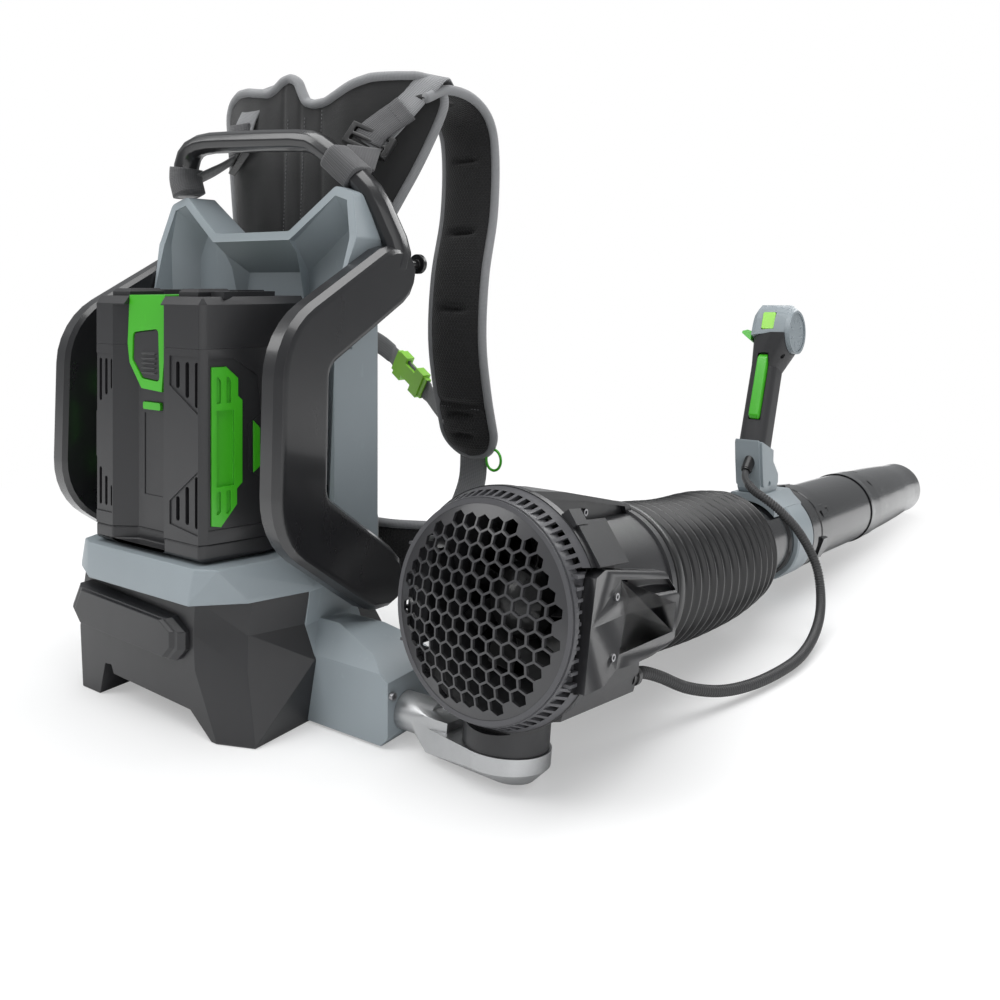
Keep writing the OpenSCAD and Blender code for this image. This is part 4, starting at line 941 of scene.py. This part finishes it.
def make_yoke():
    """Padded panel that bows round the wearer's neck, with a scalloped collar."""
    xs = np.arange(-141, 141.1, 2.0)
    top = soften(np.interp(xs, *np.array(NECK_LINE).T), 3)
    low = soften(np.interp(xs, *np.array(HEM_LINE).T), 7)
    front = soften(np.interp(xs, *np.array(BOW_FRONT).T), 9)
    back = soften(np.interp(xs, *np.array(BOW_BACK).T), 9)
    rings = []
    held = []
    for i, x in enumerate(xs):
        ring = []
        for k in range(YOKE_AROUND):
            q = 2 * math.pi * (k + 0.5) / YOKE_AROUND
            up = 0.5 - 0.5 * math.copysign(abs(math.cos(q)) ** 0.8, math.cos(q))
            out = math.sin(q)
            puff = abs(out) ** 0.7
            for row in YOKE_ROWS:
                puff *= 1 - ROW_DEEP * math.exp(-((x - row) / ROW_WIDE) ** 2)
            middle = (front[i] + back[i]) / 2
            y = middle + (back[i] - front[i]) / 2 * math.copysign(puff, out)
            ring.append((x * MM, y * MM, (low[i] + (top[i] - low[i]) * up) * MM))
            sewn = min(abs(x - row) for row in YOKE_ROWS) < 1.5
            if sewn or abs(out) < 0.4 or i < 3 or i > len(xs) - 4:
                held.append(i * YOKE_AROUND + k)
        rings.append(ring)
    piece = skin("yoke_panel", rings)
    inflate(piece, held, 3)
    settle(piece, "lining", "pack", "yoke")
    middle = (front + back) / 2
    collar = np.column_stack([xs, middle, top])
    right, left = [
        [(x, float(np.interp(x, xs, middle)), z) for x, z in points]
        for points in ([(94, 446), (99, 470), (108, 494), (118, 520), (128, 549), (138, 580), (142, 598)],
                       [(-121, 446), (-126, 480), (-130, 504), (-134, 530), (-139, 568), (-142, 596)])
    ]
    loop = along(left + [tuple(p) for p in collar[1:-1:3]] + right[::-1], 330)
    out = np.tile((0.0, -1.0, 0.0), (len(loop), 1))
    out[:, 0] = np.interp(loop[:, 0], (-0.12, -0.06, 0.05, 0.10), (-0.2, 0, 0, 0.75))
    trim("yoke_binding", loop, out, 5.4, 6.2)
    for row, z0, z1 in zip(YOKE_ROWS, (446, 446, 548), (588, 588, 592)):
        y = float(np.interp(row, *np.array(BOW_FRONT).T))
        line = np.array([(row + 0.06 * (z - z0), y - 0.6, z) for z in np.linspace(z0, z1, 40)]) * MM
        stitches("yoke_stitches", line, (0, -1, 0))


make_shoulder_pads()
make_back_pads()
make_belt()
make_yoke()


# ---- Webbing ---------------------------------------------------------------------------------------

LIFTER_LINES = {
    "right": [
        (124, 112, 621), (130, 96, 626), (134, 81, 620), (123, 66, 600), (112, 53, 580), (102, 38, 560),
        (95, 26, 547),
    ],
    "left": [
        (-92, 84, 622), (-86, 68, 630), (-84, 52, 629), (-88, 41, 612), (-96, 33, 590), (-100, 28, 568),
        (-98, 25, 550),
    ],
}
LIFTER_ACROSS = {"right": [(0.95, 0.2, -0.22), (0.88, 0.15, -0.45)], "left": [(-1, 0.05, 0), (-0.88, 0, -0.45)]}
TAIL_LINES = {
    "right": [(97, 24, 549), (101, 30, 560), (109, 41, 571), (118, 50, 580), (124, 55, 586)],
    "left": [(-98, 23, 552), (-100, 25, 562), (-102, 27, 572), (-103, 28, 580), (-103, 29, 586)],
}
TAIL_STATIONS = 30
HEM_STATION = 22     # the one that the hem's stitches cross
BUCKLE_LINES = {
    "right": [(108, -3, 517), (103, 8, 531), (98, 19, 543)],
    "left": [(-124, -14, 520), (-112, 4, 532), (-99, 19, 545)],
}
LOWER_LINE = [
    (117, 182, 226), (117, 186, 196), (116, 180, 164), (112, 150, 124), (106, 112, 106), (105, 80, 106),
    (104, 62, 112),
]
STERNUM_LINE = [
    (-94, 156, 348), (-68, 184, 341), (-42, 200, 326), (-23.4, 203.7, 314), (-15.3, 202, 309), (15, 196, 290),
    (43.4, 190.3, 272.3), (48.3, 189.3, 269), (70, 178, 257), (92, 164, 249),
]
HANDLE_LINE = [
    (-122, -27, 501), (-128, -27, 522), (-123, -26, 545), (-104, -24, 556), (-60, -22, 556), (46, -22, 549),
    (76, -20, 541), (106, -16, 518), (134, -10, 492), (148, -2, 460), (158, 2, 432), (157, -8, 412),
]


WRAP_HALF = (16.6, 13.6)     # millimetres, its half width and half thickness
WRAP_CORNER = 9


def wrap(name, middle, width):
    """Webbing sewn round the carry handle: middle is a point on it."""
    half_wide, half_thick = WRAP_HALF
    fine = along(HANDLE_LINE, 600)
    nearest = int(np.argmin(np.linalg.norm(fine - np.array(middle) * MM, axis=1)))
    run = running(fine)
    picked = abs(run - run[nearest]) < width * MM / 2
    path = fine[picked][::3]
    r = WRAP_CORNER
    section = []
    for x, y, start in ((1, 1, 0), (-1, 1, 90), (-1, -1, 180), (1, -1, 270)):
        for turn in (0, 30, 60, 90):
            q = math.radians(start + turn)
            section.append((x * (half_wide - r) + r * math.cos(q), y * (half_thick - r) + r * math.sin(q)))
    settle(swept(name, path, (0, 1, 0), section), "strap", "pack")


def between(ends, count):
    """Directions that turn evenly from the first of a pair to the second."""
    share = np.linspace(0, 1, count)[:, None]
    return unit(np.array(ends[0]) * (1 - share) + np.array(ends[1]) * share)


def make_webbing():
    for side, sign in (("right", 1), ("left", -1)):
        across = LIFTER_ACROSS[side]
        strap("lifter_tape_" + side, LIFTER_LINES[side], between(across, 60), 37, 2.2, "lifter_" + side)
        tail = along(TAIL_LINES[side], TAIL_STATIONS)
        settle(swept("lifter_tail_" + side, tail, across[1], strap_section(18, 1.5)), "strap", "pack")
        _, wide, out = sides(tail, across[1])
        at = HEM_STATION
        front = out[at] if out[at][1] < 0 else -out[at]
        hem = tail[at] + front * 0.0018 + np.linspace(-16.5, 16.5, 20)[:, None] * MM * wide[at]
        stitches("lifter_hem_" + side, hem, tuple(front))
        strap("lower_tape_" + side, [(sign * x, y, z) for x, y, z in LOWER_LINE], (1, 0, 0), 38, 2.4,
              "lower_strap_" + side)
    strap("chest_tape", STERNUM_LINE, (0, 0, 1), 24, 2.2, "sternum_strap", stations=90)
    wrap("handle_wrap_right", (106, -16, 518), 38)
    wrap("handle_wrap_left", (-127, -27, 516), 34)
    for side, line in BUCKLE_LINES.items():
        strap("buckle_tape_" + side, line, LIFTER_ACROSS[side][1], 36, 2.2, finish="strap", stations=14)


make_webbing()


RING_AT = (0.148, 0.182, 0.200)
RING_HALF = (0.010, 0.012)


def make_ring():
    """Small green D-ring on the right shoulder pad's foot."""
    (x, y, z), (wide, high) = RING_AT, RING_HALF
    turns = np.linspace(0, 2 * math.pi, 40, endpoint=False)
    path = np.array([(x + wide * math.cos(q), y, z + high * math.sin(q)) for q in turns])
    settle(swept("strap_ring", path, (0, 1, 0), oval_section(1.6, 1.6, 10), closed=True), "green", "pack")


make_ring()
